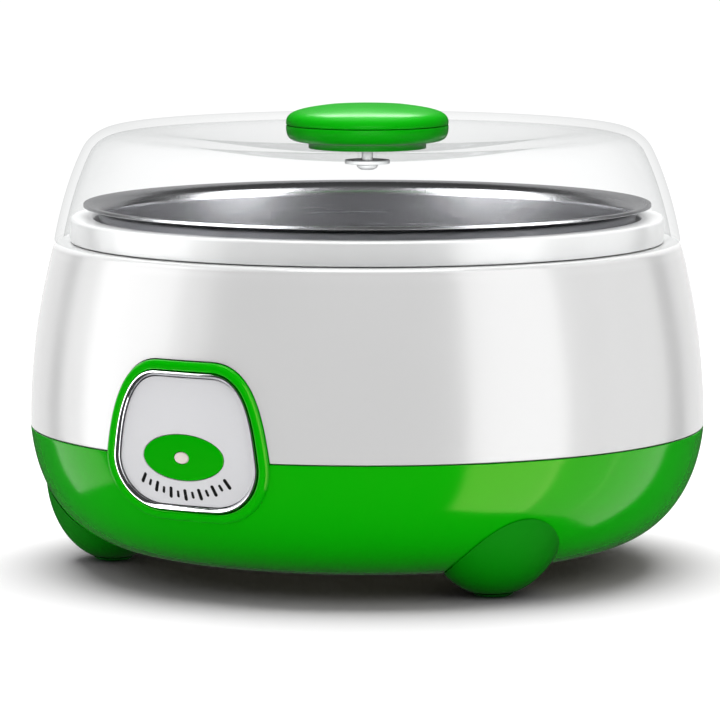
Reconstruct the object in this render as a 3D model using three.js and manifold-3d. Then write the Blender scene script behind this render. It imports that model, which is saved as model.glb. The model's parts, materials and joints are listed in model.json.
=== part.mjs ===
// Yogurt maker of one litre: a clear domed lid with a knob, a steel pot standing in a heated well,
// and a white shell on a green base with three lobed feet and a control panel.
// Millimetres, +Z up, the panel facing -Y. The origin is the centre of the footprint, on the surface
// that the feet stand on.

import * as THREE from "three";
import { mergeVertices } from "three/addons/utils/BufferGeometryUtils.js";
import Module from "manifold-3d";

const wasm = await Module();
wasm.setup();

// ---------------------------------------------------------------- driving dimensions

const GAP = 0.3; // clearance between separate pieces
const ROUND = 40; // facets of the large turned pieces
const SMALL_ROUND = 12; // facets of screws, posts and holes

// Outside of the body: the green bowl meets the white shell at the seam, its widest ring.
const SEAM = { r: 90.1, z: 37.5 };
const BOWL = { flatR: 60, bottomZ: 5.6, wall: 2.4 };
const SHELL = { topR: 83.6, topZ: 86.5, wall: 2.2, ledgeR: 76.5, tongueR: 86.8, tongueZ: 34.5 };

// The well hangs in the shell by its collar, and the pot stands on the well's floor.
const WELL = { r: 73, wall: 1.8, floorZ: 26, floor: 2, corner: 3.5 };
const COLLAR = { r: 79.3, topZ: 93.1, wall: 1.8 };
const POT = { r: 71.7, wall: 0.9, bottomZ: 26.3, corner: 10, lipR: 75.8, lipZ: 96.7, flareZ: 93.6 };

// The lid is a clear dome whose top dips towards the knob.
const LID = { r: 83.6, bottomZ: 86.8, wall: 2.3, shoulderR: 66.8, shoulderZ: 106.4, round: 10.4 };
const LID_DIP_Z = 110.6;
const KNOB = { r: 21.7, neckR: 15.7, bottomZ: 111.4, bodyZ: 113, splitZ: 117.3, topZ: 123 };
const KNOB_SCREW = { headR: 2.8, headHeight: 1.3, shankR: 1.5, tipZ: 115.8, holeZ: 116.3 };

// Control panel: its outline narrows towards the top, and the insets are measured inwards from it.
const PANEL = { topZ: 62.4, bottomZ: 21, halfWidth: 24.4, widestZ: 38, flat: 8 };
const FRAME = { width: 2.5, proud: 1.4 };
const BEZEL = { inset: 2.8, innerInset: 4, proud: 0.9 };
const FACE = { inset: 4.3, sunk: 0.4, backSunk: 2 };
const BUTTON = { halfWidth: 12.15, halfHeight: 5.9, z: 37.8, frontSunk: 0.1, flangeFrontY: -86.2 };
const LENS = { halfWidth: 2.2, halfHeight: 1.5 };
const BOARD = { frontY: -79.2, thick: 1.6, halfWidth: 17, bottomZ: 24, topZ: 52 };
const SWITCH = { x: 7, half: 4, frontY: -82.9, plungerR: 1.7, plungerTipY: -85.2 };

// Feet: each one is part of an ellipsoid that the bowl sits into.
const FOOT = { r: 68.5, z: 24, radial: 17.9, across: 20, high: 24, trimZ: 1.2, pegR: 3 };
const FOOT_ANGLES = { left: -150, right: -30, rear: 90 }; // degrees round from +X

// Heating parts under the well, and the fixings of the base.
const HEATER = { plateR: 45, plateZ: 22.2, plateThick: 1.5, ringIn: 24, ringOut: 40, ringZ: 19 };
const THERMOSTAT = { r: 8, bottomZ: 14.3 };
const STRAP = { halfLength: 53, halfWidth: 6, bottomZ: 13, thick: 1, screwX: 49 };
const POST_CIRCLE = 50; // radius of the three base screws
const TERMINAL = { x: 24, y: 54, halfX: 13, halfY: 6, bottomZ: 11.3, height: 8 };
const GLAND = { z: 29.5, flangeR: 6, neckR: 4, boreR: 2.7, outerY: 90.6, innerY: 82.3 };
const LEAD_R = 0.9;

// ---------------------------------------------------------------- shapes and solids

const at = (r, z) => new THREE.Vector2(r, z);

// A cubic curve in the (radius, height) plane, both ends included.
function curve(start, pull, push, end, steps) {
  const shape = new THREE.CubicBezierCurve(at(...start), at(...pull), at(...push), at(...end));
  return shape.getPoints(steps);
}

// An arc in the (radius, height) plane, angles in degrees from the outward radius.
function arc(r, z, size, from, to, steps) {
  const points = [];
  for (let i = 0; i <= steps; i += 1) {
    const angle = THREE.MathUtils.degToRad(from + ((to - from) * i) / steps);
    points.push(at(r + size * Math.cos(angle), z + size * Math.sin(angle)));
  }
  return points;
}

// The same line moved sideways: a line that rises moves outwards by a positive distance.
function moved(points, distance) {
  return points.map((here, i) => {
    const before = points[Math.max(i - 1, 0)];
    const after = points[Math.min(i + 1, points.length - 1)];
    const along = after.clone().sub(before).normalize();
    return at(here.x + along.y * distance, here.y - along.x * distance);
  });
}

// A closed geometry as a manifold solid.
function solid(geometry) {
  geometry.deleteAttribute("normal");
  geometry.deleteAttribute("uv");
  const merged = mergeVertices(geometry, 1e-4);
  const mesh = new wasm.Mesh({
    numProp: 3,
    vertProperties: merged.attributes.position.array,
    triVerts: new Uint32Array(merged.index.array),
  });
  return new wasm.Manifold(mesh);
}

// A turned solid about Z. The profile runs counter-clockwise, and closes on itself or on the axis.
function turned(profile, facets = ROUND) {
  const geometry = new THREE.LatheGeometry(profile, facets);
  geometry.rotateX(Math.PI / 2);
  return solid(geometry);
}

// A closed ring profile: the first point is repeated at the end.
const closed = (points) => [...points, points[0].clone()];

// An upright rod between two heights.
function rod(r, fromZ, toZ, x = 0, y = 0, facets = SMALL_ROUND) {
  const geometry = new THREE.CylinderGeometry(r, r, toZ - fromZ, facets);
  geometry.rotateX(Math.PI / 2);
  geometry.translate(x, y, (fromZ + toZ) / 2);
  return solid(geometry);
}

// A rod that lies along Y.
function rodAlongY(r, fromY, toY, x, z, facets = SMALL_ROUND) {
  const geometry = new THREE.CylinderGeometry(r, r, toY - fromY, facets);
  geometry.translate(x, (fromY + toY) / 2, z);
  return solid(geometry);
}

// A box given by its lowest and highest corners.
function block(low, high) {
  const size = high.map((value, i) => value - low[i]);
  const geometry = new THREE.BoxGeometry(...size);
  geometry.translate(...low.map((value, i) => value + size[i] / 2));
  return solid(geometry);
}

// A flat outline in X and Z, pushed through Y from one depth to another.
function prism(shape, fromY, toY, steps = 10) {
  const depth = toY - fromY;
  const geometry = new THREE.ExtrudeGeometry(shape, { depth, bevelEnabled: false, curveSegments: steps });
  geometry.rotateX(Math.PI / 2);
  geometry.translate(0, toY, 0);
  return solid(geometry);
}

// A round lead that follows a smooth line through the given points.
function lead(points) {
  const section = new THREE.Shape().absarc(0, 0, LEAD_R, 0, Math.PI * 2);
  const path = new THREE.CatmullRomCurve3(points.map((p) => new THREE.Vector3(...p)));
  const steps = Math.round(path.getLength() / 7);
  const options = { steps, curveSegments: 3, bevelEnabled: false, extrudePath: path };
  return solid(new THREE.ExtrudeGeometry(section, options));
}

// ---------------------------------------------------------------- outlines of the body

const bowlLine = () =>
  curve([BOWL.flatR, BOWL.bottomZ], [79, 5.8], [88.6, 20.5], [SEAM.r, SEAM.z], 6);

const shellLine = () =>
  curve([SEAM.r, SEAM.z], [90.3, 55], [87.5, 71], [SHELL.topR, SHELL.topZ], 5);

// Everything inside the body's outside surface, grown or shrunk by a distance.
function bodyMass(distance) {
  const outside = moved([...bowlLine(), ...shellLine().slice(1)], distance);
  const bottom = at(0, outside[0].y);
  const top = at(0, outside.at(-1).y);
  return turned([bottom, ...outside, top]);
}

// Panel outline at an inset from the frame's outer edge, seen from the front.
function panelShape(inset) {
  const side = PANEL.halfWidth - inset;
  const top = PANEL.topZ - inset;
  const bottom = PANEL.bottomZ + inset;
  const flat = PANEL.flat;
  const shoulder = { pull: 18.5 - 0.4 * inset, side: 22.5 - 0.8 * inset, z: 52 - 0.8 * inset };
  const hip = { side: 25.5 - inset, z: 30 + 0.4 * inset, push: 19 - 0.8 * inset };
  const shape = new THREE.Shape();
  shape.moveTo(-flat, bottom);
  shape.lineTo(flat, bottom);
  shape.bezierCurveTo(hip.push, bottom, hip.side, hip.z, side, PANEL.widestZ);
  shape.bezierCurveTo(shoulder.side, shoulder.z, shoulder.pull, top, flat, top);
  shape.lineTo(-flat, top);
  shape.bezierCurveTo(-shoulder.pull, top, -shoulder.side, shoulder.z, -side, PANEL.widestZ);
  shape.bezierCurveTo(-hip.side, hip.z, -hip.push, bottom, -flat, bottom);
  return shape;
}

const PANEL_DEPTH = { fromY: -95, toY: -76 };
const panelPrism = (inset) => prism(panelShape(inset), PANEL_DEPTH.fromY, PANEL_DEPTH.toY, 6);

// An oval prism of the button's or the lens's shape, grown by a distance.
function ovalPrism({ halfWidth, halfHeight }, grow, fromY, toY) {
  const shape = new THREE.Shape();
  shape.absellipse(0, BUTTON.z, halfWidth + grow, halfHeight + grow, 0, Math.PI * 2);
  return prism(shape, fromY, toY, 16);
}

// A place on a circle about the Z axis.
function onCircle(r, degrees) {
  const angle = THREE.MathUtils.degToRad(degrees);
  return [r * Math.cos(angle), r * Math.sin(angle)];
}

// ---------------------------------------------------------------- base

// The bowl with its floor, the arch of the panel frame standing on it, three hollow bosses for the
// base screws, air slots in the floor, and holes for the feet's pegs and the cord gland.
function baseTray() {
  const outside = bowlLine();
  outside.at(-1).y -= GAP / 2;
  const inside = moved(outside, -BOWL.wall).reverse();
  inside[0].y = outside.at(-1).y;
  const floorZ = BOWL.bottomZ + BOWL.wall;
  inside[inside.length - 1].y = floorZ;
  const bowl = turned([at(0, BOWL.bottomZ), ...outside, ...inside, at(0, floorZ)]);
  const arch = panelPrism(0).intersect(bodyMass(FRAME.proud)).subtract(bodyMass(-BOWL.wall));
  let tray = bowl.add(arch).subtract(panelPrism(FRAME.width));
  for (const angle of Object.values(FOOT_ANGLES)) {
    const [x, y] = onCircle(POST_CIRCLE, angle);
    tray = tray.add(rod(5, BOWL.bottomZ, 12, x, y)).subtract(rod(3.3, 5, 9, x, y));
    tray = tray.subtract(rod(1.9, 8, 13, x, y)).subtract(footPeg(angle, FOOT.pegR + GAP));
  }
  const terminalBoss = rod(4, 7, TERMINAL.bottomZ - GAP, TERMINAL.x, TERMINAL.y);
  tray = tray.add(terminalBoss).subtract(rod(1.7, 6.6, 12, TERMINAL.x, TERMINAL.y));
  const slots = 12;
  for (let i = 0; i < slots; i += 1) {
    const geometry = new THREE.BoxGeometry(16, 2.4, 4);
    geometry.translate(32, 0, BOWL.bottomZ + BOWL.wall / 2);
    geometry.rotateZ((2 * Math.PI * (i + 0.5)) / slots);
    tray = tray.subtract(solid(geometry));
  }
  return tray.subtract(rodAlongY(GLAND.neckR + GAP, 80, 95, 0, GLAND.z));
}

// A foot's peg, square to the bowl's wall at the middle of the lobe.
function footPeg(degrees, r) {
  const wall = { r: 79.9, z: 13.4, tilt: THREE.MathUtils.degToRad(-45) };
  const geometry = new THREE.CylinderGeometry(r, r, 10, SMALL_ROUND);
  geometry.rotateZ(-Math.PI / 2 + wall.tilt);
  geometry.rotateX(Math.PI / 2);
  geometry.translate(wall.r - 1, 0, wall.z + 1);
  geometry.rotateZ(THREE.MathUtils.degToRad(degrees));
  return solid(geometry);
}

// One lobe: an ellipsoid cut by the bowl and trimmed flat for its rubber pad, with a peg that holds
// it in the bowl's wall.
function foot(degrees) {
  const egg = new THREE.SphereGeometry(1, 20, 14);
  egg.rotateX(Math.PI / 2);
  egg.scale(FOOT.radial, FOOT.across, FOOT.high);
  egg.translate(FOOT.r, 0, FOOT.z);
  egg.rotateZ(THREE.MathUtils.degToRad(degrees));
  const [x, y] = onCircle(FOOT.r, degrees);
  const lobe = solid(egg)
    .subtract(bodyMass(GAP))
    .subtract(rod(30, -5, FOOT.trimZ, x, y))
    .subtract(rod(4.5, 0, 2.4, x, y));
  return lobe.add(footPeg(degrees, FOOT.pegR).subtract(bodyMass(-BOWL.wall - 1.5)));
}

// Rubber pad: a thin lip that carries on the lobe's curve, and a plug up into the lobe.
function footPad(degrees) {
  const [x, y] = onCircle(FOOT.r, degrees);
  const profile = [at(0, 0), at(3.2, 0), at(4.6, 0.35), at(5.2, 0.9), at(4.2, 0.9), at(4.2, 2.1), at(0, 2.1)];
  return turned(profile, 16).translate([x, y, 0]);
}

// Pan-head screw pointing up: the head below the shank.
function screwUp(x, y, headZ, headHeight, headR, shankR, tipZ) {
  return rod(headR, headZ, headZ + headHeight, x, y).add(rod(shankR, headZ + 0.1, tipZ, x, y));
}

// Grommet in the rear wall, with a bore for the mains cord.
function cordGland() {
  const cap = rodAlongY(GLAND.flangeR, 84, GLAND.outerY, 0, GLAND.z, 24).subtract(bodyMass(GAP));
  const neck = rodAlongY(GLAND.neckR, GLAND.innerY, GLAND.outerY - 0.5, 0, GLAND.z, 20);
  const collar = rodAlongY(5.5, GLAND.innerY, GLAND.innerY + 1.6, 0, GLAND.z, 20);
  return cap.add(neck).add(collar).subtract(rodAlongY(GLAND.boreR, 75, 95, 0, GLAND.z, 16));
}

// ---------------------------------------------------------------- shell and well

// White shell: open at the bottom with a tongue inside the bowl's rim, and a ledge at the top that
// carries the well's collar and the lid. The panel's arch stands in a notch.
function outerShell() {
  const outside = shellLine();
  outside[0].y += GAP / 2;
  const inside = moved(outside, -SHELL.wall).reverse();
  inside[0] = at(inside[0].x - 0.4, SHELL.topZ - SHELL.wall);
  const root = inside.pop();
  const profile = closed([
    at(SHELL.tongueR, outside[0].y),
    ...outside,
    at(SHELL.ledgeR, SHELL.topZ),
    at(SHELL.ledgeR, SHELL.topZ - SHELL.wall),
    ...inside,
    at(root.x - 2, root.y + 2),
    at(SHELL.tongueR - 1.9, SHELL.tongueZ),
    at(SHELL.tongueR, SHELL.tongueZ),
  ]);
  return turned(profile).subtract(panelPrism(-GAP));
}

// The well: a cup with a collar turned over at its mouth, posts under its floor for the base screws
// and the thermostat strap, and two posts on its wall for the board.
function innerWell() {
  const outerR = WELL.r + WELL.wall;
  const underZ = WELL.floorZ - WELL.floor;
  const skirtZ = SHELL.topZ + GAP;
  const profile = [
    at(0, underZ),
    at(outerR - 4.8, underZ),
    ...arc(outerR - 4.8, underZ + 4.8, 4.8, -60, 0, 2),
    at(outerR, COLLAR.topZ - COLLAR.wall),
    at(COLLAR.r - COLLAR.wall, COLLAR.topZ - COLLAR.wall),
    at(COLLAR.r - COLLAR.wall, skirtZ),
    at(COLLAR.r, skirtZ),
    at(COLLAR.r, COLLAR.topZ - 0.7),
    at(COLLAR.r - 0.7, COLLAR.topZ),
    at(WELL.r + 0.9, COLLAR.topZ),
    at(WELL.r, COLLAR.topZ - 0.9),
    ...arc(WELL.r - WELL.corner, WELL.floorZ + WELL.corner, WELL.corner, 0, -90, 3),
    at(0, WELL.floorZ),
  ];
  let well = turned(profile);
  for (const angle of Object.values(FOOT_ANGLES)) {
    const [x, y] = onCircle(POST_CIRCLE, angle);
    well = well.add(rod(4.5, 12 + GAP, underZ + 1, x, y)).subtract(rod(1.8, 10, 20, x, y));
  }
  for (const x of [-STRAP.screwX, STRAP.screwX]) {
    well = well.add(rod(3.5, THERMOSTAT.bottomZ, underZ + 1, x, 0)).subtract(rod(1.7, 10, 20.5, x, 0));
  }
  for (const x of BOARD_POSTS) {
    const backY = BOARD.frontY + BOARD.thick;
    well = well.add(rodAlongY(3, backY + GAP, -73.4, x, BOARD_POST_Z));
    well = well.subtract(rodAlongY(1.8, -80, -74.4, x, BOARD_POST_Z));
  }
  return well;
}

const BOARD_POSTS = [-12, 12];
const BOARD_POST_Z = 47;

// ---------------------------------------------------------------- panel and switch

// Bright ring that lines the frame's window.
function panelBezel() {
  const ring = panelPrism(BEZEL.inset).subtract(panelPrism(BEZEL.innerInset));
  return ring.intersect(bodyMass(BEZEL.proud)).subtract(bodyMass(-FACE.backSunk));
}

// Curved face plate with an oval hole for the button.
function panelFace() {
  const plate = panelPrism(FACE.inset).intersect(bodyMass(-FACE.sunk));
  return plate.subtract(bodyMass(-FACE.backSunk)).subtract(ovalPrism(BUTTON, GAP, -95, -80));
}

// Oval push button: a retaining flange behind the face, and a hole for the light lens.
function powerButton() {
  const flangeBackY = SWITCH.plungerTipY - GAP;
  const cap = ovalPrism(BUTTON, 0, -95, BUTTON.flangeFrontY).intersect(bodyMass(-BUTTON.frontSunk));
  const flange = ovalPrism(BUTTON, 1.4, BUTTON.flangeFrontY - 0.01, flangeBackY);
  return cap.add(flange).subtract(ovalPrism(LENS, GAP, -95, -80));
}

const indicatorLens = () => ovalPrism(LENS, 0, -90.05, -85);

const switchPlunger = () =>
  rodAlongY(SWITCH.plungerR, SWITCH.plungerTipY, -82.3, SWITCH.x, BUTTON.z);

function pushSwitch() {
  const { x, half, frontY } = SWITCH;
  const body = block([x - half, frontY, BUTTON.z - half], [x + half, BOARD.frontY - GAP, BUTTON.z + half]);
  return body.subtract(rodAlongY(SWITCH.plungerR + GAP, -90, -75, x, BUTTON.z));
}

function indicatorLed() {
  const backY = BOARD.frontY - GAP;
  const dome = rodAlongY(1.5, -83.1, backY, 0, BUTTON.z);
  return dome.add(rodAlongY(1.9, backY - 0.8, backY, 0, BUTTON.z));
}

function controlBoard() {
  const backY = BOARD.frontY + BOARD.thick;
  let board = block([-BOARD.halfWidth, BOARD.frontY, BOARD.bottomZ], [BOARD.halfWidth, backY, BOARD.topZ]);
  for (const x of BOARD_POSTS) {
    board = board.subtract(rodAlongY(1.8, -85, -75, x, BOARD_POST_Z));
  }
  return board;
}

function boardScrew(x) {
  const headBackY = BOARD.frontY - GAP;
  const head = rodAlongY(2.8, headBackY - 1.8, headBackY, x, BOARD_POST_Z);
  return head.add(rodAlongY(1.5, headBackY - 0.1, -74.8, x, BOARD_POST_Z));
}

// ---------------------------------------------------------------- heating parts

const heaterPlate = () =>
  rod(HEATER.plateR, HEATER.plateZ, HEATER.plateZ + HEATER.plateThick, 0, 0, 40);

function heaterElement() {
  const topZ = HEATER.plateZ - GAP;
  const outer = rod(HEATER.ringOut, HEATER.ringZ, topZ, 0, 0, 32);
  return outer.subtract(rod(HEATER.ringIn, 0, 50, 0, 0, 32));
}

const thermostat = () =>
  rod(THERMOSTAT.r, THERMOSTAT.bottomZ + 2, HEATER.plateZ - GAP, 0, 0, 24).add(
    rod(THERMOSTAT.r - 2.5, THERMOSTAT.bottomZ, THERMOSTAT.bottomZ + 3, 0, 0, 24),
  );

function thermostatStrap() {
  const { halfLength, halfWidth, bottomZ, thick, screwX } = STRAP;
  const bar = block([-halfLength, -halfWidth, bottomZ], [halfLength, halfWidth, bottomZ + thick]);
  return bar.subtract(rod(1.7, 10, 16, -screwX, 0)).subtract(rod(1.7, 10, 16, screwX, 0));
}

// A sleeved thermal fuse lying along X under the element.
function thermalFuse() {
  const geometry = new THREE.CapsuleGeometry(1.8, 10.4, 4, 12);
  geometry.rotateZ(Math.PI / 2);
  geometry.translate(0, 32, HEATER.ringZ - GAP - 1.8);
  return solid(geometry);
}

function terminalBlock() {
  const { x, y, halfX, halfY, bottomZ, height } = TERMINAL;
  const topZ = bottomZ + height;
  let body = block([x - halfX, y - halfY, bottomZ], [x + halfX, y + halfY, topZ]);
  for (const side of [-8.5, 8.5]) {
    body = body.subtract(rod(2, topZ - 3, topZ + 1, x + side, y));
  }
  return body.subtract(rod(1.8, 5, topZ + 1, x, y));
}

function terminalScrew() {
  const { x, y, bottomZ, height } = TERMINAL;
  const underHead = bottomZ + height + GAP;
  return rod(2.8, underHead, underHead + 1.8, x, y).add(rod(1.4, 7, underHead + 0.1, x, y));
}

// Leads from the terminal block through the fuse and the thermostat to the heating element and
// back, and one round the well to the board.
const LEAD_ROUTES = {
  lead_block_to_fuse: [[16, 47.6, 15], [16, 42, 14.5], [14, 35, 15.5], [8, 32, 16.8]],
  lead_fuse_to_thermostat: [[-8, 32, 16.8], [-12, 29, 15.8], [-10, 19, 15.5], [-2, 9.4, 18.5]],
  lead_thermostat_to_heater: [[2, 9.4, 18.5], [6, 13.5, 17], [13, 12, 17], [19, 11, 20.4]],
  lead_heater_to_block: [[20.9, 35.8, 20.4], [22, 40, 19], [22, 45, 16], [22, 47.6, 15]],
  lead_block_to_board: [
    [38.2, 54, 15], [48, 47, 12.5], [66, 0, 11], [57, -33, 11], [33, -57, 12], [20, -68, 14],
    [12, -76, 18.5], [10, -78.4, 23.4],
  ],
};

// ---------------------------------------------------------------- pot and lid

// Thin steel pot with a rounded bottom corner and a lip that flares over the collar.
function steelPot() {
  const { r, wall, bottomZ, corner, lipR, lipZ, flareZ } = POT;
  const inner = r - wall;
  const cornerZ = bottomZ + corner;
  const flare = curve([inner, flareZ], [inner, 95.6], [72.6, lipZ - 0.2], [lipR - 0.7, lipZ], 3);
  const profile = [
    at(0, bottomZ),
    ...arc(r - corner, cornerZ, corner, -90, 0, 3),
    ...moved(flare, wall).map((p) => at(Math.max(p.x, r), p.y)),
    at(lipR, lipZ - 0.9),
    at(lipR, lipZ - 0.3),
    ...[...flare].reverse(),
    ...arc(r - corner, cornerZ, corner - wall, 0, -90, 3),
    at(0, bottomZ + wall),
  ];
  return turned(profile);
}

// Clear lid: leaning side, round shoulder, and a top that dips to the middle, where a screw hole
// takes the knob.
function lidDome() {
  const screwHoleR = 2.5;
  const { r, bottomZ, shoulderR, shoulderZ, round, wall } = LID;
  const meet = THREE.MathUtils.degToRad(28);
  const sideTop = [shoulderR + round * Math.cos(meet), shoulderZ + round * Math.sin(meet)];
  const crestZ = shoulderZ + round;
  const side = curve([r, bottomZ], [82.2, 95], [79.4, 104.5], sideTop, 3);
  const shoulder = arc(shoulderR, shoulderZ, round, 28, 90, 3).slice(1);
  const dip = curve([shoulderR, crestZ], [52, crestZ], [36, LID_DIP_Z], [screwHoleR, LID_DIP_Z], 4);
  const outside = [...side, ...shoulder, ...dip.slice(1)];
  const inside = moved(outside, -wall).reverse();
  inside[0].x = screwHoleR;
  inside[inside.length - 1].y = bottomZ;
  return turned(closed([...outside, ...inside]));
}

// Lower half of the knob: a neck on the lid and a flaring grip, with a blind hole for the screw.
function knobBase() {
  const { r, neckR, bottomZ, bodyZ, splitZ } = KNOB;
  const profile = [
    at(0, bottomZ),
    at(neckR, bottomZ),
    at(neckR, bodyZ),
    at(18.4, bodyZ),
    at(20.6, 113.5),
    at(r - 0.2, 114.6),
    at(r, 116),
    at(r, splitZ),
    at(0, splitZ),
  ];
  return turned(profile, 32).subtract(rod(1.9, 110, KNOB_SCREW.holeZ, 0, 0));
}

// Upper half of the knob: a shallow dome with a rounded rim.
function knobCap() {
  const { r, splitZ, topZ } = KNOB;
  const rim = curve([r, splitZ + GAP], [r + 0.1, 120.9], [19.5, 121.5], [11, 122.6], 4);
  return turned([at(0, splitZ + GAP), ...rim, at(0, topZ)], 32);
}

const LID_UNDER_Z = LID_DIP_Z - LID.wall;
const WASHER = { r: 6, topZ: LID_UNDER_Z - GAP, thick: 1 };

const knobWasher = () =>
  rod(WASHER.r, WASHER.topZ - WASHER.thick, WASHER.topZ, 0, 0, 24).subtract(rod(1.9, 100, 115, 0, 0));

function knobScrew() {
  const { headR, headHeight, shankR, tipZ } = KNOB_SCREW;
  const headZ = WASHER.topZ - WASHER.thick - GAP - headHeight;
  return screwUp(0, 0, headZ, headHeight, headR, shankR, tipZ);
}

// ---------------------------------------------------------------- materials

const finish = (color, roughness, metalness = 0) =>
  new THREE.MeshStandardMaterial({ color, roughness, metalness });

const greenPlastic = finish(0x00ad02, 0.18);
const footPlastic = finish(0x008c02, 0.3);
const footRubber = finish(0x007505, 0.8);
const whitePlastic = finish(0xe6e6e6, 0.15);
const clearPlastic = finish(0xf4f8f8, 0.04);
clearPlastic.transparent = true;
clearPlastic.opacity = 0.3;
const brushedSteel = finish(0xb8b8ba, 0.3, 1);
const brightMetal = finish(0xe6e6e8, 0.08, 1);
const silverFace = finish(0xdddde0, 0.35, 0.2);
const lensPlastic = finish(0xede4dc, 0.2);
const boardLaminate = finish(0x2c6b3a, 0.5);
const blackPlastic = finish(0x202022, 0.5);
const heaterAluminium = finish(0xc9c9cb, 0.4, 1);
const heaterMica = finish(0xb9a68a, 0.7);
const sleeve = finish(0xe9e5da, 0.8);
const screwSteel = finish(0x9a9a9e, 0.35, 1);
const leadInsulation = finish(0xe8e8e8, 0.5);

// ---------------------------------------------------------------- assembly

// A named mesh made from a solid.
function piece(name, body, material) {
  const { vertProperties, triVerts } = body.getMesh();
  const geometry = new THREE.BufferGeometry();
  geometry.setAttribute("position", new THREE.BufferAttribute(vertProperties, 3));
  geometry.setIndex(new THREE.BufferAttribute(triVerts, 1));
  geometry.computeVertexNormals();
  const mesh = new THREE.Mesh(geometry, material);
  mesh.name = name;
  return mesh;
}

function lidGroup() {
  const lid = new THREE.Group();
  lid.add(piece("lid_dome", lidDome(), clearPlastic));
  lid.add(piece("knob_base", knobBase(), greenPlastic));
  lid.add(piece("knob_cap", knobCap(), greenPlastic));
  lid.add(piece("knob_washer", knobWasher(), clearPlastic));
  lid.add(piece("knob_screw", knobScrew(), clearPlastic));
  return lid;
}

function buttonGroup() {
  const button = new THREE.Group();
  button.add(piece("power_button", powerButton(), greenPlastic));
  button.add(piece("indicator_lens", indicatorLens(), lensPlastic));
  button.add(piece("switch_plunger", switchPlunger(), blackPlastic));
  return button;
}

function panelGroup() {
  const panel = new THREE.Group();
  panel.add(piece("panel_bezel", panelBezel(), brightMetal));
  panel.add(piece("panel_face", panelFace(), silverFace));
  panel.add(piece("control_board", controlBoard(), boardLaminate));
  panel.add(piece("push_switch", pushSwitch(), blackPlastic));
  panel.add(piece("indicator_led", indicatorLed(), lensPlastic));
  panel.add(piece("board_screw_left", boardScrew(BOARD_POSTS[0]), screwSteel));
  panel.add(piece("board_screw_right", boardScrew(BOARD_POSTS[1]), screwSteel));
  return panel;
}

function heaterGroup() {
  const heater = new THREE.Group();
  heater.add(piece("heater_plate", heaterPlate(), heaterAluminium));
  heater.add(piece("heater_element", heaterElement(), heaterMica));
  heater.add(piece("thermostat", thermostat(), blackPlastic));
  heater.add(piece("thermostat_strap", thermostatStrap(), screwSteel));
  for (const [side, x] of [["left", -STRAP.screwX], ["right", STRAP.screwX]]) {
    heater.add(piece("strap_screw_" + side, screwUp(x, 0, 10.6, 2.1, 2.8, 1.4, 19.5), screwSteel));
  }
  heater.add(piece("thermal_fuse", thermalFuse(), sleeve));
  heater.add(piece("terminal_block", terminalBlock(), whitePlastic));
  heater.add(piece("terminal_screw", terminalScrew(), screwSteel));
  for (const [name, route] of Object.entries(LEAD_ROUTES)) {
    heater.add(piece(name, lead(route), leadInsulation));
  }
  return heater;
}

function housingGroup() {
  const housing = new THREE.Group();
  housing.add(piece("base_tray", baseTray(), greenPlastic));
  housing.add(piece("outer_shell", outerShell(), whitePlastic));
  housing.add(piece("inner_well", innerWell(), whitePlastic));
  housing.add(piece("cord_gland", cordGland(), blackPlastic));
  for (const [side, angle] of Object.entries(FOOT_ANGLES)) {
    const [x, y] = onCircle(POST_CIRCLE, angle);
    housing.add(piece("foot_" + side, foot(angle), footPlastic));
    housing.add(piece("foot_pad_" + side, footPad(angle), footRubber));
    housing.add(piece("base_screw_" + side, screwUp(x, y, 6.6, 2.1, 3, 1.5, 19), screwSteel));
  }
  return housing;
}

const yogurtMaker = new THREE.Group();
yogurtMaker.add(housingGroup());
yogurtMaker.add(panelGroup());
yogurtMaker.add(heaterGroup());
yogurtMaker.add(buttonGroup());
yogurtMaker.add(piece("steel_pot", steelPot(), brushedSteel));
yogurtMaker.add(lidGroup());

export default yogurtMaker;
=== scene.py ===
import bisect
import json
import math

import bmesh
import bpy
from mathutils import Color, Matrix, Vector
from mathutils.geometry import interpolate_bezier


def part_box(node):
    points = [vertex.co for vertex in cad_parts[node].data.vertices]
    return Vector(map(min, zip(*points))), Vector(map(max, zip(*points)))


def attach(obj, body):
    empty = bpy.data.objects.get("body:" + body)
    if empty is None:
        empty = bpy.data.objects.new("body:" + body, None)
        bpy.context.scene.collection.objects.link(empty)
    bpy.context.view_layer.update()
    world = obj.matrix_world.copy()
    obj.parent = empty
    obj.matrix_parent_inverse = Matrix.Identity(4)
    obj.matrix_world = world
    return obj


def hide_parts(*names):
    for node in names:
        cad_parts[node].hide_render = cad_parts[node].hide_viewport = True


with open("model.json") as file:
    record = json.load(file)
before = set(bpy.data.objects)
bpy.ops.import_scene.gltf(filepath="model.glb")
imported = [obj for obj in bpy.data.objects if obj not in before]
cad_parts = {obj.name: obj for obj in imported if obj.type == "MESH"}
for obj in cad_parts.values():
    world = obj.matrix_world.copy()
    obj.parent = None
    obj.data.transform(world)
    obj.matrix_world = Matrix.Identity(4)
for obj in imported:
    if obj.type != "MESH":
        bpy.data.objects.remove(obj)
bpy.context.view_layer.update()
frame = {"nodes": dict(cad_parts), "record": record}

bl_info = {
    "name": "Yogurt Maker",
    "version": (1, 0, 0),
    "blender": (4, 5, 0),
    "location": "View3D > Sidebar > Yogurt Maker",
    "description": "Builds a one-litre yogurt maker around its packed frame",
    "category": "Add Mesh",
}

MM = 0.001

# Facets round the large turned pieces, the knob, and the small turned pieces.
TURN = 240
KNOB_TURN = 160
SMALL_TURN = 48

GAP = 0.3  # clearance between separate pieces, mm
SEAM_Z = 37.5  # the widest ring, where the green bowl meets the white shell, mm
FOOT_ANGLES = {"left": -150, "right": -30, "rear": 90}  # degrees round from +X
CAMERA_AZIMUTH = 31.8  # degrees round from the panel's front


# ---------------------------------------------------------------- sizes and colours

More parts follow.
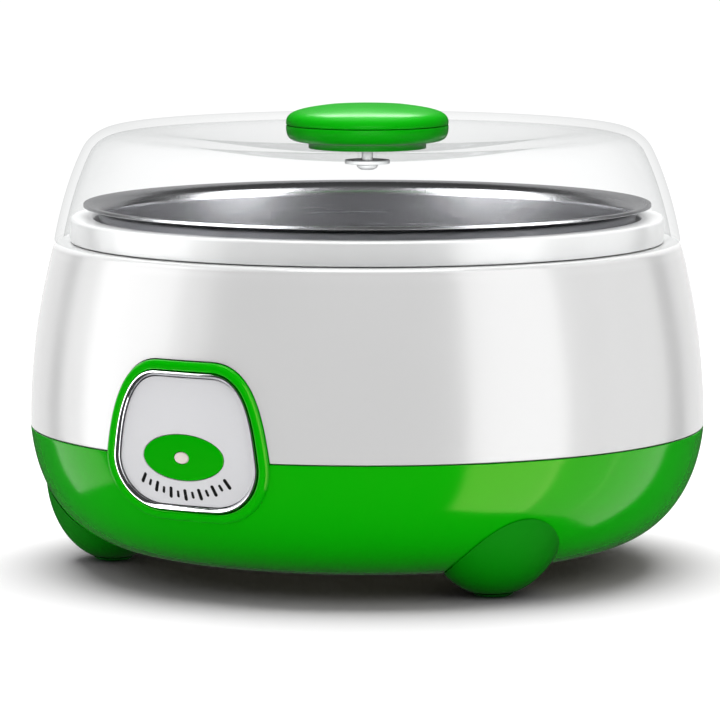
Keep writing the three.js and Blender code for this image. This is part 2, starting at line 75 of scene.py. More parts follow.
def slot_colour(slot):
    """The record's colour of a material slot, in scene-linear values."""
    for material in frame["record"]["materials"]:
        if material["slot"] == slot:
            shade = Color(material["base_color"][:3])
            return tuple(shade.from_srgb_to_scene_linear())
    raise RuntimeError(f"the record has no material slot named {slot}")


def height_of(node):
    """Highest point of a CAD node, in metres."""
    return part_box(node)[1].z


class YogurtMakerSizes(bpy.types.PropertyGroup):
    """Sizes that a user would change."""

    bowl_wall: bpy.props.FloatProperty(
        name="Bowl Wall", description="Wall thickness of the green bowl",
        default=2.4 * MM, min=1 * MM, max=5 * MM, unit="LENGTH", subtype="DISTANCE")
    shell_edge: bpy.props.FloatProperty(
        name="Shell Edge", description="Softness of the white shell's top edge",
        default=1.3 * MM, min=0.1 * MM, max=3 * MM, unit="LENGTH", subtype="DISTANCE")
    lid_wall: bpy.props.FloatProperty(
        name="Lid Wall", description="Wall thickness of the clear lid",
        default=2.3 * MM, min=1 * MM, max=4 * MM, unit="LENGTH", subtype="DISTANCE")
    knob_top: bpy.props.FloatProperty(
        name="Knob Top", description="Height of the knob's crown over the table",
        default=height_of("knob_cap"), min=0.1, max=0.15, unit="LENGTH", subtype="DISTANCE")
    bead_proud: bpy.props.FloatProperty(
        name="Arch Bead", description="How far the panel's arch stands proud of the body",
        default=1.4 * MM, min=0, max=3 * MM, unit="LENGTH", subtype="DISTANCE")


class YogurtMakerFinishes(bpy.types.PropertyGroup):
    """Colours that a user would change, in scene-linear values."""

    green: bpy.props.FloatVectorProperty(
        name="Green", description="Bowl, arch, button and knob",
        default=slot_colour("green_plastic"), size=3, min=0, max=1, subtype="COLOR")
    foot_green: bpy.props.FloatVectorProperty(
        name="Foot Green", description="The three lobed feet",
        default=slot_colour("foot_plastic"), size=3, min=0, max=1, subtype="COLOR")
    white: bpy.props.FloatVectorProperty(
        name="White", description="Shell and well",
        default=slot_colour("white_plastic"), size=3, min=0, max=1, subtype="COLOR")
    steel: bpy.props.FloatVectorProperty(
        name="Pot Steel", description="The pot's brushed steel",
        default=slot_colour("pot_steel"), size=3, min=0, max=1, subtype="COLOR")
    silver: bpy.props.FloatVectorProperty(
        name="Face Silver", description="The panel's face plate",
        default=slot_colour("silver_face"), size=3, min=0, max=1, subtype="COLOR")


# ---------------------------------------------------------------- lines in the (radius, height) plane

def curve(start, pull, push, end, steps):
    """A cubic curve with both its ends."""
    knots = [Vector(point) for point in (start, pull, push, end)]
    return [tuple(point) for point in interpolate_bezier(*knots, steps + 1)]


def arc(r, z, size, first, last, steps):
    """An arc, with its angles in degrees from the outward radius."""
    points = []
    for i in range(steps + 1):
        angle = math.radians(first + (last - first) * i / steps)
        points.append((r + size * math.cos(angle), z + size * math.sin(angle)))
    return points


def moved(points, distance):
    """The same line moved sideways: a rising line moves outwards by a positive distance."""
    line = []
    for i, (r, z) in enumerate(points):
        before = points[max(i - 1, 0)]
        after = points[min(i + 1, len(points) - 1)]
        along = Vector((after[0] - before[0], after[1] - before[1])).normalized()
        line.append((r + along.y * distance, z - along.x * distance))
    return line


def softened(points, ring=False):
    """Rounds each corner that has a third number, its setback."""
    line = []
    for i, point in enumerate(points):
        ends = i in (0, len(points) - 1) and not ring
        if len(point) < 3 or ends:
            line.append(point[:2])
            continue
        corner = Vector(point[:2])
        before = Vector(points[i - 1][:2])
        after = Vector(points[(i + 1) % len(points)][:2])
        start = corner + (before - corner).normalized() * point[2]
        end = corner + (after - corner).normalized() * point[2]
        bend = 0.552
        line += curve(start, start.lerp(corner, bend), end.lerp(corner, bend), end, 5)
    return line


def bowl_line(steps=30):
    return curve((60, 5.6), (79, 5.8), (88.6, 20.5), (90.1, SEAM_Z), steps)


def shell_line(steps=30):
    return curve((90.1, SEAM_Z), (90.3, 55), (87.5, 71), (83.6, 86.5), steps)


BODY_LINE = bowl_line(120) + shell_line(120)[1:]
BODY_HEIGHTS = [z for r, z in BODY_LINE]


def body_radius(z):
    """Radius of the body's outside at a height, mm."""
    i = min(max(bisect.bisect(BODY_HEIGHTS, z), 1), len(BODY_LINE) - 1)
    (r0, z0), (r1, z1) = BODY_LINE[i - 1], BODY_LINE[i]
    return r0 + (r1 - r0) * (z - z0) / (z1 - z0)


def on_body(x, z, proud):
    """A point over the body's front at a given x and height, in mm."""
    return Vector((x, -math.sqrt((body_radius(z) + proud) ** 2 - x * x), z))


# ---------------------------------------------------------------- mesh making
# Shapes are in mm until they become objects.

def turned(points, steps=TURN, ring=False):
    """A shape turned about Z. Its line ends on the axis, or closes on itself as a ring."""
    bm = bmesh.new()
    line = softened(points, ring)
    verts = [bm.verts.new((r, 0, z)) for r, z in line]
    for a, b in zip(verts, verts[1:]):
        bm.edges.new((a, b))
    if ring:
        bm.edges.new((verts[-1], verts[0]))
    bmesh.ops.spin(bm, geom=bm.verts[:] + bm.edges[:], cent=(0, 0, 0), axis=(0, 0, 1),
                   angle=math.tau, steps=steps, use_merge=True)
    bmesh.ops.remove_doubles(bm, verts=bm.verts, dist=1e-4)
    bmesh.ops.recalc_face_normals(bm, faces=bm.faces)
    return bm


def skinned(loops, ring=False):
    """A skin bridged over closed loops of points, in order."""
    bm = bmesh.new()
    rows = []
    for loop in loops:
        verts = [bm.verts.new(point) for point in loop]
        rows.append([bm.edges.new(pair) for pair in zip(verts, verts[1:] + verts[:1])])
    pairs = list(zip(rows, rows[1:]))
    if ring:
        pairs.append((rows[-1], rows[0]))
    for first, second in pairs:
        bmesh.ops.bridge_loops(bm, edges=first + second)
    bmesh.ops.recalc_face_normals(bm, faces=bm.faces)
    return bm


def capped(bm):
    """Closes every open loop with a face."""
    edges = [edge for edge in bm.edges if edge.is_boundary]
    bmesh.ops.holes_fill(bm, edges=edges, sides=0)
    bmesh.ops.recalc_face_normals(bm, faces=bm.faces)
    return bm


def joined(*parts):
    """Several shapes in one mesh."""
    whole = bmesh.new()
    for bm in parts:
        mesh = bpy.data.meshes.new("part")
        bm.to_mesh(mesh)
        bm.free()
        whole.from_mesh(mesh)
        bpy.data.meshes.remove(mesh)
    return whole


def placed(bm, matrix):
    """The same shape, moved and turned."""
    bmesh.ops.transform(bm, matrix=matrix, verts=bm.verts)
    return bm


def rod(r, low, high, x=0, y=0, steps=SMALL_TURN):
    """An upright rod between two heights."""
    bm = bmesh.new()
    bmesh.ops.create_cone(bm, cap_ends=True, segments=steps, radius1=r, radius2=r,
                          depth=high - low)
    return placed(bm, Matrix.Translation((x, y, (low + high) / 2)))


def block(low, high):
    """A box between two corners."""
    bm = bmesh.new()
    bmesh.ops.create_cube(bm, size=1)
    size = [b - a for a, b in zip(low, high)]
    middle = [(a + b) / 2 for a, b in zip(low, high)]
    return placed(bm, Matrix.Translation(middle) @ Matrix.Diagonal((*size, 1)))


def as_object(bm, name):
    """The shape as an object, in metres."""
    placed(bm, Matrix.Scale(MM, 4))
    mesh = bpy.data.meshes.new(name)
    bm.to_mesh(mesh)
    bm.free()
    piece = bpy.data.objects.new(name, mesh)
    bpy.context.scene.collection.objects.link(piece)
    return piece


def carved(piece, bm, operation="DIFFERENCE"):
    """Cuts a shape out of a piece, or joins it on."""
    tool = as_object(bm, "carving_tool")
    carve = piece.modifiers.new("Carve", "BOOLEAN")
    carve.operation = operation
    carve.solver = "EXACT"
    carve.object = tool
    bpy.context.view_layer.update()
    depsgraph = bpy.context.evaluated_depsgraph_get()
    shaped = bpy.data.meshes.new_from_object(piece.evaluated_get(depsgraph))
    piece.modifiers.clear()
    plain = piece.data
    piece.data = shaped
    shaped.name = piece.name
    tool_mesh = tool.data
    bpy.data.objects.remove(tool)
    bpy.data.meshes.remove(tool_mesh)
    bpy.data.meshes.remove(plain)
    return piece


def dressed(piece, material, body, slot, *nodes):
    """Smooth faces, sharp folds, a finish, the body that carries the piece and what it stands for."""
    piece.data.shade_smooth()
    piece.data.set_sharp_from_angle(angle=math.radians(32))
    piece.data.materials.clear()
    piece.data.materials.append(material)
    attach(piece, body)
    if nodes:
        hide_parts(*nodes)
    return piece


# ---------------------------------------------------------------- outlines of the panel

def panel_outline(inset):
    """The panel's outline in x and z, at an inset from the arch's outer edge."""
    side = 24.4 - inset
    top = 62.4 - inset
    bottom = 21 + inset
    flat = 8
    waist_z = 38
    hip = curve((flat, bottom), (19 - 0.8 * inset, bottom), (25.5 - inset, 30 + 0.4 * inset),
                (side, waist_z), 24)
    brow = curve((side, waist_z), (22.5 - 0.8 * inset, 52 - 0.8 * inset),
                 (18.5 - 0.4 * inset, top), (flat, top), 24)
    half = [(flat * i / 4, bottom) for i in range(4)] + hip + brow[1:]
    half += [(flat * i / 4, top) for i in (3, 2, 1)]
    other = [(-x, z) for x, z in reversed(half[1:])]
    return half + [(0, top)] + other


def panel_loop(inset, proud):
    """The panel's outline laid over the body."""
    return [on_body(x, z, proud) for x, z in panel_outline(inset)]


BUTTON_Z = 37.8
BUTTON_HALF = (12.15, 5.9)
LENS_HALF = (2.2, 1.5)


def oval_outline(half, grow=0):
    """An oval round the button's middle, with a point for each point of the panel's outline."""
    half_x, half_z = (size + grow for size in half)
    points = []
    for x, z in panel_outline(0):
        angle = math.atan2((z - BUTTON_Z) / BUTTON_HALF[1], x / BUTTON_HALF[0])
        points.append((half_x * math.cos(angle), BUTTON_Z + half_z * math.sin(angle)))
    return points


def laid(outline, proud):
    """A flat outline laid over the body."""
    return [on_body(x, z, proud) for x, z in outline]


def at_depth(outline, y):
    """A flat outline at one depth."""
    return [Vector((x, y, z)) for x, z in outline]


def between(first, second, share):
    """An outline part of the way from one to another."""
    return [(a[0] + (b[0] - a[0]) * share, a[1] + (b[1] - a[1]) * share)
            for a, b in zip(first, second)]


# ---------------------------------------------------------------- finishes

def new_finish(name):
    """An empty node material."""
    material = bpy.data.materials.new(name)
    material.use_nodes = True
    material.node_tree.nodes.clear()
    return material, material.node_tree.nodes, material.node_tree.links


def framed(nodes, label, members):
    """A titled frame round the nodes of one effect."""
    group = nodes.new("NodeFrame")
    group.label = label
    for node in members:
        node.parent = group


def laid_out(spots):
    """Sets the nodes' places in the editor."""
    for node, spot in spots:
        node.location = spot


def moulded_plastic(name, colour, gloss, peel, shine=0.5, glint=(1, 1, 1), mottle=0.04):
    """Moulded plastic: a faint flow shade in the colour, and a fine peel in the gloss and surface.
    The glint is the tint of its reflections."""
    material, nodes, links = new_finish(name)
    place = nodes.new("ShaderNodeTexCoord")
    place.label = "Place on the piece"
    flow = nodes.new("ShaderNodeTexNoise")
    flow.label = "Flow of the melt"
    flow.inputs["Scale"].default_value = 26
    flow.inputs["Detail"].default_value = 3
    shade = nodes.new("ShaderNodeMapRange")
    shade.label = "How far the shade drifts"
    shade.inputs["To Min"].default_value = 0
    shade.inputs["To Max"].default_value = mottle
    tint = nodes.new("ShaderNodeMix")
    tint.label = "Colour with its flow shade"
    tint.data_type = "RGBA"
    tint.inputs["A"].default_value = (*colour, 1)
    tint.inputs["B"].default_value = (*[channel * 0.55 for channel in colour], 1)
    smear = nodes.new("ShaderNodeTexNoise")
    smear.label = "Handling smears"
    smear.inputs["Scale"].default_value = 60
    smear.inputs["Detail"].default_value = 5
    ray = nodes.new("ShaderNodeLightPath")
    ray.label = "Is it light thrown on other pieces"
    spill = nodes.new("ShaderNodeMix")
    spill.label = "Throws grey light, not coloured"
    spill.data_type = "RGBA"
    spill.inputs["B"].default_value = (*[sum(colour) / 3] * 3, 1)
    polish = nodes.new("ShaderNodeMapRange")
    polish.label = "Polish from smear"
    polish.inputs["To Min"].default_value = gloss * 0.8
    polish.inputs["To Max"].default_value = gloss * 1.3
    grain = nodes.new("ShaderNodeTexNoise")
    grain.label = "Mould peel"
    grain.inputs["Scale"].default_value = 420
    grain.inputs["Detail"].default_value = 2
    relief = nodes.new("ShaderNodeBump")
    relief.label = "Peel relief"
    relief.inputs["Strength"].default_value = peel
    relief.inputs["Distance"].default_value = 0.0002
    plastic = nodes.new("ShaderNodeBsdfPrincipled")
    plastic.label = "Moulded plastic"
    plastic.inputs["Specular IOR Level"].default_value = shine
    plastic.inputs["Specular Tint"].default_value = (*glint, 1)
    out = nodes.new("ShaderNodeOutputMaterial")
    out.label = "Surface"
    framed(nodes, "Colour", (flow, shade, tint, ray, spill))
    framed(nodes, "Gloss", (smear, polish))
    framed(nodes, "Relief", (grain, relief))
    laid_out(((place, (-1000, 0)), (flow, (-960, 260)), (shade, (-760, 260)), (tint, (-560, 260)),
              (ray, (-560, 560)), (spill, (-340, 260)),
              (smear, (-760, 0)), (polish, (-560, 0)), (grain, (-760, -260)),
              (relief, (-560, -260)), (plastic, (-80, 0)), (out, (240, 0))))
    links.new(place.outputs["Object"], flow.inputs["Vector"])
    links.new(place.outputs["Object"], smear.inputs["Vector"])
    links.new(place.outputs["Object"], grain.inputs["Vector"])
    links.new(flow.outputs["Fac"], shade.inputs["Value"])
    links.new(shade.outputs["Result"], tint.inputs["Factor"])
    links.new(ray.outputs["Is Diffuse Ray"], spill.inputs["Factor"])
    links.new(tint.outputs["Result"], spill.inputs["A"])
    links.new(spill.outputs["Result"], plastic.inputs["Base Color"])
    links.new(smear.outputs["Fac"], polish.inputs["Value"])
    links.new(polish.outputs["Result"], plastic.inputs["Roughness"])
    links.new(grain.outputs["Fac"], relief.inputs["Height"])
    links.new(relief.outputs["Normal"], plastic.inputs["Normal"])
    links.new(plastic.outputs["BSDF"], out.inputs["Surface"])
    return material


def clear_plastic(name):
    """Clear polished plastic wall: see-through, with painted grey shade edge-on, and a sheen that
    keeps wipe marks.
    """
    material, nodes, links = new_finish(name)
    place = nodes.new("ShaderNodeTexCoord")
    place.label = "Place on the lid"
    wipe = nodes.new("ShaderNodeTexNoise")
    wipe.label = "Wipe marks"
    wipe.inputs["Scale"].default_value = 45
    wipe.inputs["Detail"].default_value = 4
    polish = nodes.new("ShaderNodeMapRange")
    polish.label = "Polish under the wipe marks"
    polish.inputs["To Min"].default_value = 0.02
    polish.inputs["To Max"].default_value = 0.06
    flow = nodes.new("ShaderNodeTexNoise")
    flow.label = "Flow lines from the gate"
    flow.inputs["Scale"].default_value = 18
    relief = nodes.new("ShaderNodeBump")
    relief.label = "Flow relief"
    relief.inputs["Strength"].default_value = 0.02
    relief.inputs["Distance"].default_value = 0.0005
    slope = nodes.new("ShaderNodeLayerWeight")
    slope.label = "How edge-on the wall stands"
    edge = nodes.new("ShaderNodeMath")
    edge.label = "Only near its outline"
    edge.operation = "POWER"
    edge.inputs[1].default_value = 4
    # The grey edge-on tint is painted shade: it darkens the see-through wall near its outline, where
    # the lid would mirror dark surroundings.
    tint = nodes.new("ShaderNodeMix")
    tint.label = "Clear, and greyer edge-on"
    tint.data_type = "RGBA"
    tint.inputs["A"].default_value = (0.99, 0.992, 0.992, 1)
    tint.inputs["B"].default_value = (0.82, 0.825, 0.825, 1)
    through = nodes.new("ShaderNodeBsdfTransparent")
    through.label = "See-through wall"
    lamp = nodes.new("ShaderNodeLightPath")
    lamp.label = "Is it a lamp's ray"
    open_to_lamps = nodes.new("ShaderNodeMapRange")
    open_to_lamps.label = "Sheen lets the lamps through"
    open_to_lamps.inputs["To Min"].default_value = 0.08
    open_to_lamps.inputs["To Max"].default_value = 0
    amount = nodes.new("ShaderNodeMath")
    amount.label = "How much sheen"
    amount.operation = "MULTIPLY"
    sheen = nodes.new("ShaderNodeBsdfAnisotropic")
    sheen.label = "Polished sheen"
    sheen.inputs["Color"].default_value = (1, 1, 1, 1)
    choose = nodes.new("ShaderNodeMixShader")
    choose.label = "Clear wall with its sheen"
    out = nodes.new("ShaderNodeOutputMaterial")
    out.label = "Surface"
    framed(nodes, "Polish", (wipe, polish))
    framed(nodes, "Flow relief", (flow, relief))
    framed(nodes, "Clearness", (slope, edge, tint, through))
    framed(nodes, "Sheen", (lamp, open_to_lamps, amount, sheen))
    laid_out(((place, (-1000, 0)), (wipe, (-760, 120)), (polish, (-540, 120)),
              (flow, (-760, -160)), (relief, (-540, -160)), (slope, (-760, 520)),
              (edge, (-540, 520)), (tint, (-320, 520)), (through, (-100, 520)),
              (lamp, (-540, -420)), (open_to_lamps, (-320, -480)), (amount, (-100, -300)),
              (sheen, (-100, 60)), (choose, (120, 60)), (out, (340, 60))))
    links.new(place.outputs["Object"], wipe.inputs["Vector"])
    links.new(place.outputs["Object"], flow.inputs["Vector"])
    links.new(wipe.outputs["Fac"], polish.inputs["Value"])
    links.new(polish.outputs["Result"], sheen.inputs["Roughness"])
    links.new(flow.outputs["Fac"], relief.inputs["Height"])
    links.new(relief.outputs["Normal"], sheen.inputs["Normal"])
    links.new(edge.outputs["Value"], tint.inputs["Factor"])
    links.new(tint.outputs["Result"], through.inputs["Color"])
    links.new(lamp.outputs["Is Shadow Ray"], open_to_lamps.inputs["Value"])
    links.new(slope.outputs["Facing"], edge.inputs[0])
    links.new(edge.outputs["Value"], amount.inputs[0])
    links.new(open_to_lamps.outputs["Result"], amount.inputs[1])
    links.new(amount.outputs["Value"], choose.inputs["Fac"])
    links.new(through.outputs["BSDF"], choose.inputs[1])
    links.new(sheen.outputs["BSDF"], choose.inputs[2])
    links.new(choose.outputs["Shader"], out.inputs["Surface"])
    return material


def worked_metal(name, colour, gloss, stretch, fineness, depth, anisotropy=0.0, stain=0.06):
    """Metal with tool or brush lines: the stretch squeezes the lines' pattern along each axis."""
    material, nodes, links = new_finish(name)
    place = nodes.new("ShaderNodeTexCoord")
    place.label = "Place on the piece"
    lay = nodes.new("ShaderNodeMapping")
    lay.label = "Lay of the lines"
    lay.inputs["Scale"].default_value = stretch
    lines = nodes.new("ShaderNodeTexNoise")
    lines.label = "Brush lines"
    lines.inputs["Scale"].default_value = fineness
    lines.inputs["Detail"].default_value = 4
    lines.inputs["Roughness"].default_value = 0.7
    polish = nodes.new("ShaderNodeMapRange")
    polish.label = "Polish along the lines"
    polish.inputs["To Min"].default_value = gloss * 0.7
    polish.inputs["To Max"].default_value = gloss * 1.35
    relief = nodes.new("ShaderNodeBump")
    relief.label = "Line relief"
    relief.inputs["Strength"].default_value = depth
    relief.inputs["Distance"].default_value = 0.00004
    bloom = nodes.new("ShaderNodeTexNoise")
    bloom.label = "Faint bloom"
    bloom.inputs["Scale"].default_value = 30
    bloom.inputs["Detail"].default_value = 4
    amount = nodes.new("ShaderNodeMapRange")
    amount.label = "How much bloom"
    amount.inputs["To Max"].default_value = stain
    tint = nodes.new("ShaderNodeMix")
    tint.label = "Metal with its bloom"
    tint.data_type = "RGBA"
    tint.inputs["A"].default_value = (*colour, 1)
    tint.inputs["B"].default_value = (*[channel * 0.5 for channel in colour], 1)
    run = nodes.new("ShaderNodeTangent")
    run.label = "Lines run round the axis"
    run.direction_type = "RADIAL"
    run.axis = "Z"
    metal = nodes.new("ShaderNodeBsdfPrincipled")
    metal.label = "Metal"
    metal.inputs["Metallic"].default_value = 1
    metal.inputs["Anisotropic"].default_value = anisotropy
    out = nodes.new("ShaderNodeOutputMaterial")
    out.label = "Surface"
    framed(nodes, "Lines", (lay, lines, polish, relief, run))
    framed(nodes, "Colour", (bloom, amount, tint))
    laid_out(((place, (-1200, 0)), (lay, (-1000, -60)), (lines, (-800, -60)),
              (polish, (-580, 40)), (relief, (-580, -240)), (run, (-580, -440)),
              (bloom, (-800, 340)), (amount, (-580, 340)), (tint, (-360, 340)),
              (metal, (-80, 0)), (out, (240, 0))))
    links.new(place.outputs["Object"], lay.inputs["Vector"])
    links.new(place.outputs["Object"], bloom.inputs["Vector"])
    links.new(lay.outputs["Vector"], lines.inputs["Vector"])
    links.new(lines.outputs["Fac"], polish.inputs["Value"])
    links.new(polish.outputs["Result"], metal.inputs["Roughness"])
    links.new(lines.outputs["Fac"], relief.inputs["Height"])
    links.new(relief.outputs["Normal"], metal.inputs["Normal"])
    links.new(bloom.outputs["Fac"], amount.inputs["Value"])
    links.new(amount.outputs["Result"], tint.inputs["Factor"])
    links.new(tint.outputs["Result"], metal.inputs["Base Color"])
    links.new(run.outputs["Tangent"], metal.inputs["Tangent"])
    links.new(metal.outputs["BSDF"], out.inputs["Surface"])
    return material


def satin_silver(name, colour):
    """Satin silver paint on the face plate: fine flakes that vary its shade and gloss."""
    material, nodes, links = new_finish(name)
    place = nodes.new("ShaderNodeTexCoord")
    place.label = "Place on the face"
    flakes = nodes.new("ShaderNodeTexVoronoi")
    flakes.label = "Paint flakes"
    flakes.inputs["Scale"].default_value = 5200
    amount = nodes.new("ShaderNodeMapRange")
    amount.label = "How much the flakes vary"
    amount.inputs["To Max"].default_value = 0.1
    tint = nodes.new("ShaderNodeMix")
    tint.label = "Paint with flakes"
    tint.data_type = "RGBA"
    tint.inputs["A"].default_value = (*colour, 1)
    tint.inputs["B"].default_value = (*[channel * 0.7 for channel in colour], 1)
    cloud = nodes.new("ShaderNodeTexNoise")
    cloud.label = "Spray cloud"
    cloud.inputs["Scale"].default_value = 90
    polish = nodes.new("ShaderNodeMapRange")
    polish.label = "Satin gloss"
    polish.inputs["To Min"].default_value = 0.26
    polish.inputs["To Max"].default_value = 0.36
    relief = nodes.new("ShaderNodeBump")
    relief.label = "Flake relief"
    relief.inputs["Strength"].default_value = 0.05
    relief.inputs["Distance"].default_value = 0.00005
    paint = nodes.new("ShaderNodeBsdfPrincipled")
    paint.label = "Satin paint"
    paint.inputs["Metallic"].default_value = 0.05
    paint.inputs["Specular IOR Level"].default_value = 0.08
    out = nodes.new("ShaderNodeOutputMaterial")
    out.label = "Surface"
    framed(nodes, "Flakes", (flakes, amount, tint, relief))
    framed(nodes, "Gloss", (cloud, polish))
    laid_out(((place, (-1000, 0)), (flakes, (-780, 240)), (amount, (-580, 240)),
              (tint, (-360, 240)), (cloud, (-780, -40)), (polish, (-580, -40)),
              (relief, (-580, -300)), (paint, (-80, 0)), (out, (240, 0))))
    links.new(place.outputs["Object"], flakes.inputs["Vector"])
    links.new(place.outputs["Object"], cloud.inputs["Vector"])
    links.new(flakes.outputs["Distance"], amount.inputs["Value"])
    links.new(amount.outputs["Result"], tint.inputs["Factor"])
    links.new(tint.outputs["Result"], paint.inputs["Base Color"])
    links.new(cloud.outputs["Fac"], polish.inputs["Value"])
    links.new(polish.outputs["Result"], paint.inputs["Roughness"])
    links.new(flakes.outputs["Distance"], relief.inputs["Height"])
    links.new(relief.outputs["Normal"], paint.inputs["Normal"])
    links.new(paint.outputs["BSDF"], out.inputs["Surface"])
    return material


def patterned(name, pattern, scale, colours, gloss, relief_strength, metallic=0.0):
    """Laminate, mica, sleeve, rubber or ink: two colours by a pattern, which also stands in relief."""
    material, nodes, links = new_finish(name)
    place = nodes.new("ShaderNodeTexCoord")
    place.label = "Place on the piece"
    figure = nodes.new(pattern)
    figure.label = "Figure of the material"
    figure.inputs["Scale"].default_value = scale
    ramp = nodes.new("ShaderNodeValToRGB")
    ramp.label = "Its two colours"
    ramp.color_ramp.elements[0].position = 0.35
    ramp.color_ramp.elements[0].color = (*colours[0], 1)
    ramp.color_ramp.elements[1].position = 0.65
    ramp.color_ramp.elements[1].color = (*colours[1], 1)
    polish = nodes.new("ShaderNodeMapRange")
    polish.label = "Gloss over the figure"
    polish.inputs["To Min"].default_value = gloss * 0.85
    polish.inputs["To Max"].default_value = min(gloss * 1.15, 1)
    relief = nodes.new("ShaderNodeBump")
    relief.label = "Relief of the figure"
    relief.inputs["Strength"].default_value = relief_strength
    relief.inputs["Distance"].default_value = 0.0002
    body = nodes.new("ShaderNodeBsdfPrincipled")
    body.label = "Material"
    body.inputs["Metallic"].default_value = metallic
    out = nodes.new("ShaderNodeOutputMaterial")
    out.label = "Surface"
    framed(nodes, "Figure", (figure, ramp, polish, relief))
    laid_out(((place, (-900, 0)), (figure, (-700, 0)), (ramp, (-440, 160)),
              (polish, (-440, -80)), (relief, (-440, -340)), (body, (-80, 0)), (out, (240, 0))))
    links.new(place.outputs["Object"], figure.inputs["Vector"])
    links.new(figure.outputs[0], ramp.inputs["Fac"])
    links.new(figure.outputs[0], polish.inputs["Value"])
    links.new(figure.outputs[0], relief.inputs["Height"])
    links.new(ramp.outputs["Color"], body.inputs["Base Color"])
    links.new(polish.outputs["Result"], body.inputs["Roughness"])
    links.new(relief.outputs["Normal"], body.inputs["Normal"])
    links.new(body.outputs["BSDF"], out.inputs["Surface"])
    return material


def finish_named(name, make, *settings, **more):
    """A finish that several pieces share, made once."""
    return bpy.data.materials.get(name) or make(name, *settings, **more)


def green_plastic():
    colour = tuple(bpy.context.scene.yogurt_maker_finishes.green)
    return finish_named("green_gloss_plastic", moulded_plastic, colour, 0.12, 0.02, shine=0.28,
                        glint=(1, 0.95, 0.3))


def knob_plastic():
    colour = tuple(bpy.context.scene.yogurt_maker_finishes.green)
    return finish_named("green_satin_plastic", moulded_plastic, colour, 0.3, 0.02, shine=0.5)


def white_plastic():
    colour = tuple(bpy.context.scene.yogurt_maker_finishes.white)
    return finish_named("white_gloss_plastic", moulded_plastic, colour, 0.2, 0.02, shine=0.9,
                        mottle=0.015)


def screw_steel():
    return finish_named("plated_screw_steel", worked_metal, slot_colour("screw_steel"), 0.3,
                        (1, 1, 6), 300, 0.3)


# ---------------------------------------------------------------- operators

class YogurtMakerPart(bpy.types.Operator):
    """Makes one part of the yogurt maker."""

    bl_options = {"REGISTER", "UNDO"}

    def execute(self, context):
        self.make(context.scene.yogurt_maker_sizes, context.scene.yogurt_maker_finishes)
        return {"FINISHED"}


class YOGURT_MAKER_OT_camera(YogurtMakerPart):
    """Sets up the camera in front of the panel, a little above the table"""

    bl_idname = "yogurt_maker.camera"
    bl_label = "Camera"

    def make(self, sizes, finishes):
        azimuth = math.radians(CAMERA_AZIMUTH)
        distance = 1.4
        height = 0.213
        aim_z = 0.055
        aside = -0.00195
        right = Vector((math.cos(azimuth), math.sin(azimuth), 0))
        target = right * aside + Vector((0, 0, aim_z))
        place = right * aside + Vector(
            (distance * math.sin(azimuth), -distance * math.cos(azimuth), height))
        lens = bpy.data.cameras.new("studio_camera")
        lens.lens = 262.8
        lens.sensor_width = 36
        lens.clip_end = 50
        camera = bpy.data.objects.new("studio_camera", lens)
        camera.location = place
        camera.rotation_euler = (target - place).to_track_quat("-Z", "Y").to_euler()
        bpy.context.scene.collection.objects.link(camera)
        bpy.context.scene.camera = camera


def bowl_cutter(grow, top_z=60):
    """Everything inside the body's outside, grown by a distance, up to a height."""
    outside = moved(bowl_line(40) + shell_line(40)[1:], grow)
    outside = [point for point in outside if point[1] < top_z]
    return turned([(0, outside[0][1])] + outside + [(0, outside[-1][1])])


class YOGURT_MAKER_OT_bowl(YogurtMakerPart):
    """Makes the green bowl with its floor, air slots and the panel's arch"""

    bl_idname = "yogurt_maker.bowl"
    bl_label = "Bowl and Arch"

    def make(self, sizes, finishes):
        wall = sizes.bowl_wall / MM
        outside = bowl_line()
        outside[-1] = (outside[-1][0], SEAM_Z - GAP / 2, 0.35)
        inside = moved(bowl_line(), -wall)[::-1]
        inside[0] = (inside[0][0], SEAM_Z - GAP / 2)
        floor_z = 5.6 + wall
        inside[-1] = (inside[-1][0], floor_z)
        bowl = as_object(turned([(0, 5.6)] + outside + inside + [(0, floor_z)]), "green_bowl")
        tools = [capped(skinned([at_depth(panel_outline(1.2), -100),
                                 at_depth(panel_outline(1.2), -70)]))]
        for i in range(12):
            turn = Matrix.Rotation(math.tau * (i + 0.5) / 12, 4, "Z")
            slot = block((24, -1.2, 3), (40, 1.2, 11))
            upright = [edge for edge in slot.edges
                       if abs(edge.verts[0].co.z - edge.verts[1].co.z) > 1]
            bmesh.ops.bevel(slot, geom=upright, offset=1.1, segments=5, profile=0.5,
                            affect="EDGES", material=-1)
            tools.append(placed(slot, turn))
        for degrees in FOOT_ANGLES.values():
            angle = math.radians(degrees)
            tools.append(rod(3.3, 3, 11, 50 * math.cos(angle), 50 * math.sin(angle)))
        gland_hole = rod(4.3, 80, 95)
        tools.append(placed(gland_hole, Matrix.Translation((0, 0, 29.5))
                            @ Matrix.Rotation(math.radians(-90), 4, "X")))
        carved(bowl, joined(*tools))
        carved(bowl, self.bead(sizes.bead_proud / MM), "UNION")
        dressed(bowl, green_plastic(), "base", "green_plastic", "base_tray")

    def bead(self, proud):
        """The arch: a rounded bead round the panel's window, laid over the body."""
        section = [(0, -1), (0, 0.25 * proud), (0.05, 0.45 * proud), (0.18, 0.66 * proud),
                   (0.4, 0.84 * proud), (0.75, 0.96 * proud), (1.15, proud),
                   (1.6, 0.97 * proud), (1.98, 0.86 * proud), (2.26, 0.68 * proud),
                   (2.43, 0.45 * proud), (2.5, 0.2 * proud), (2.5, -2.4), (0.4, -2.4)]
        return skinned([panel_loop(inset, depth) for inset, depth in section], ring=True)


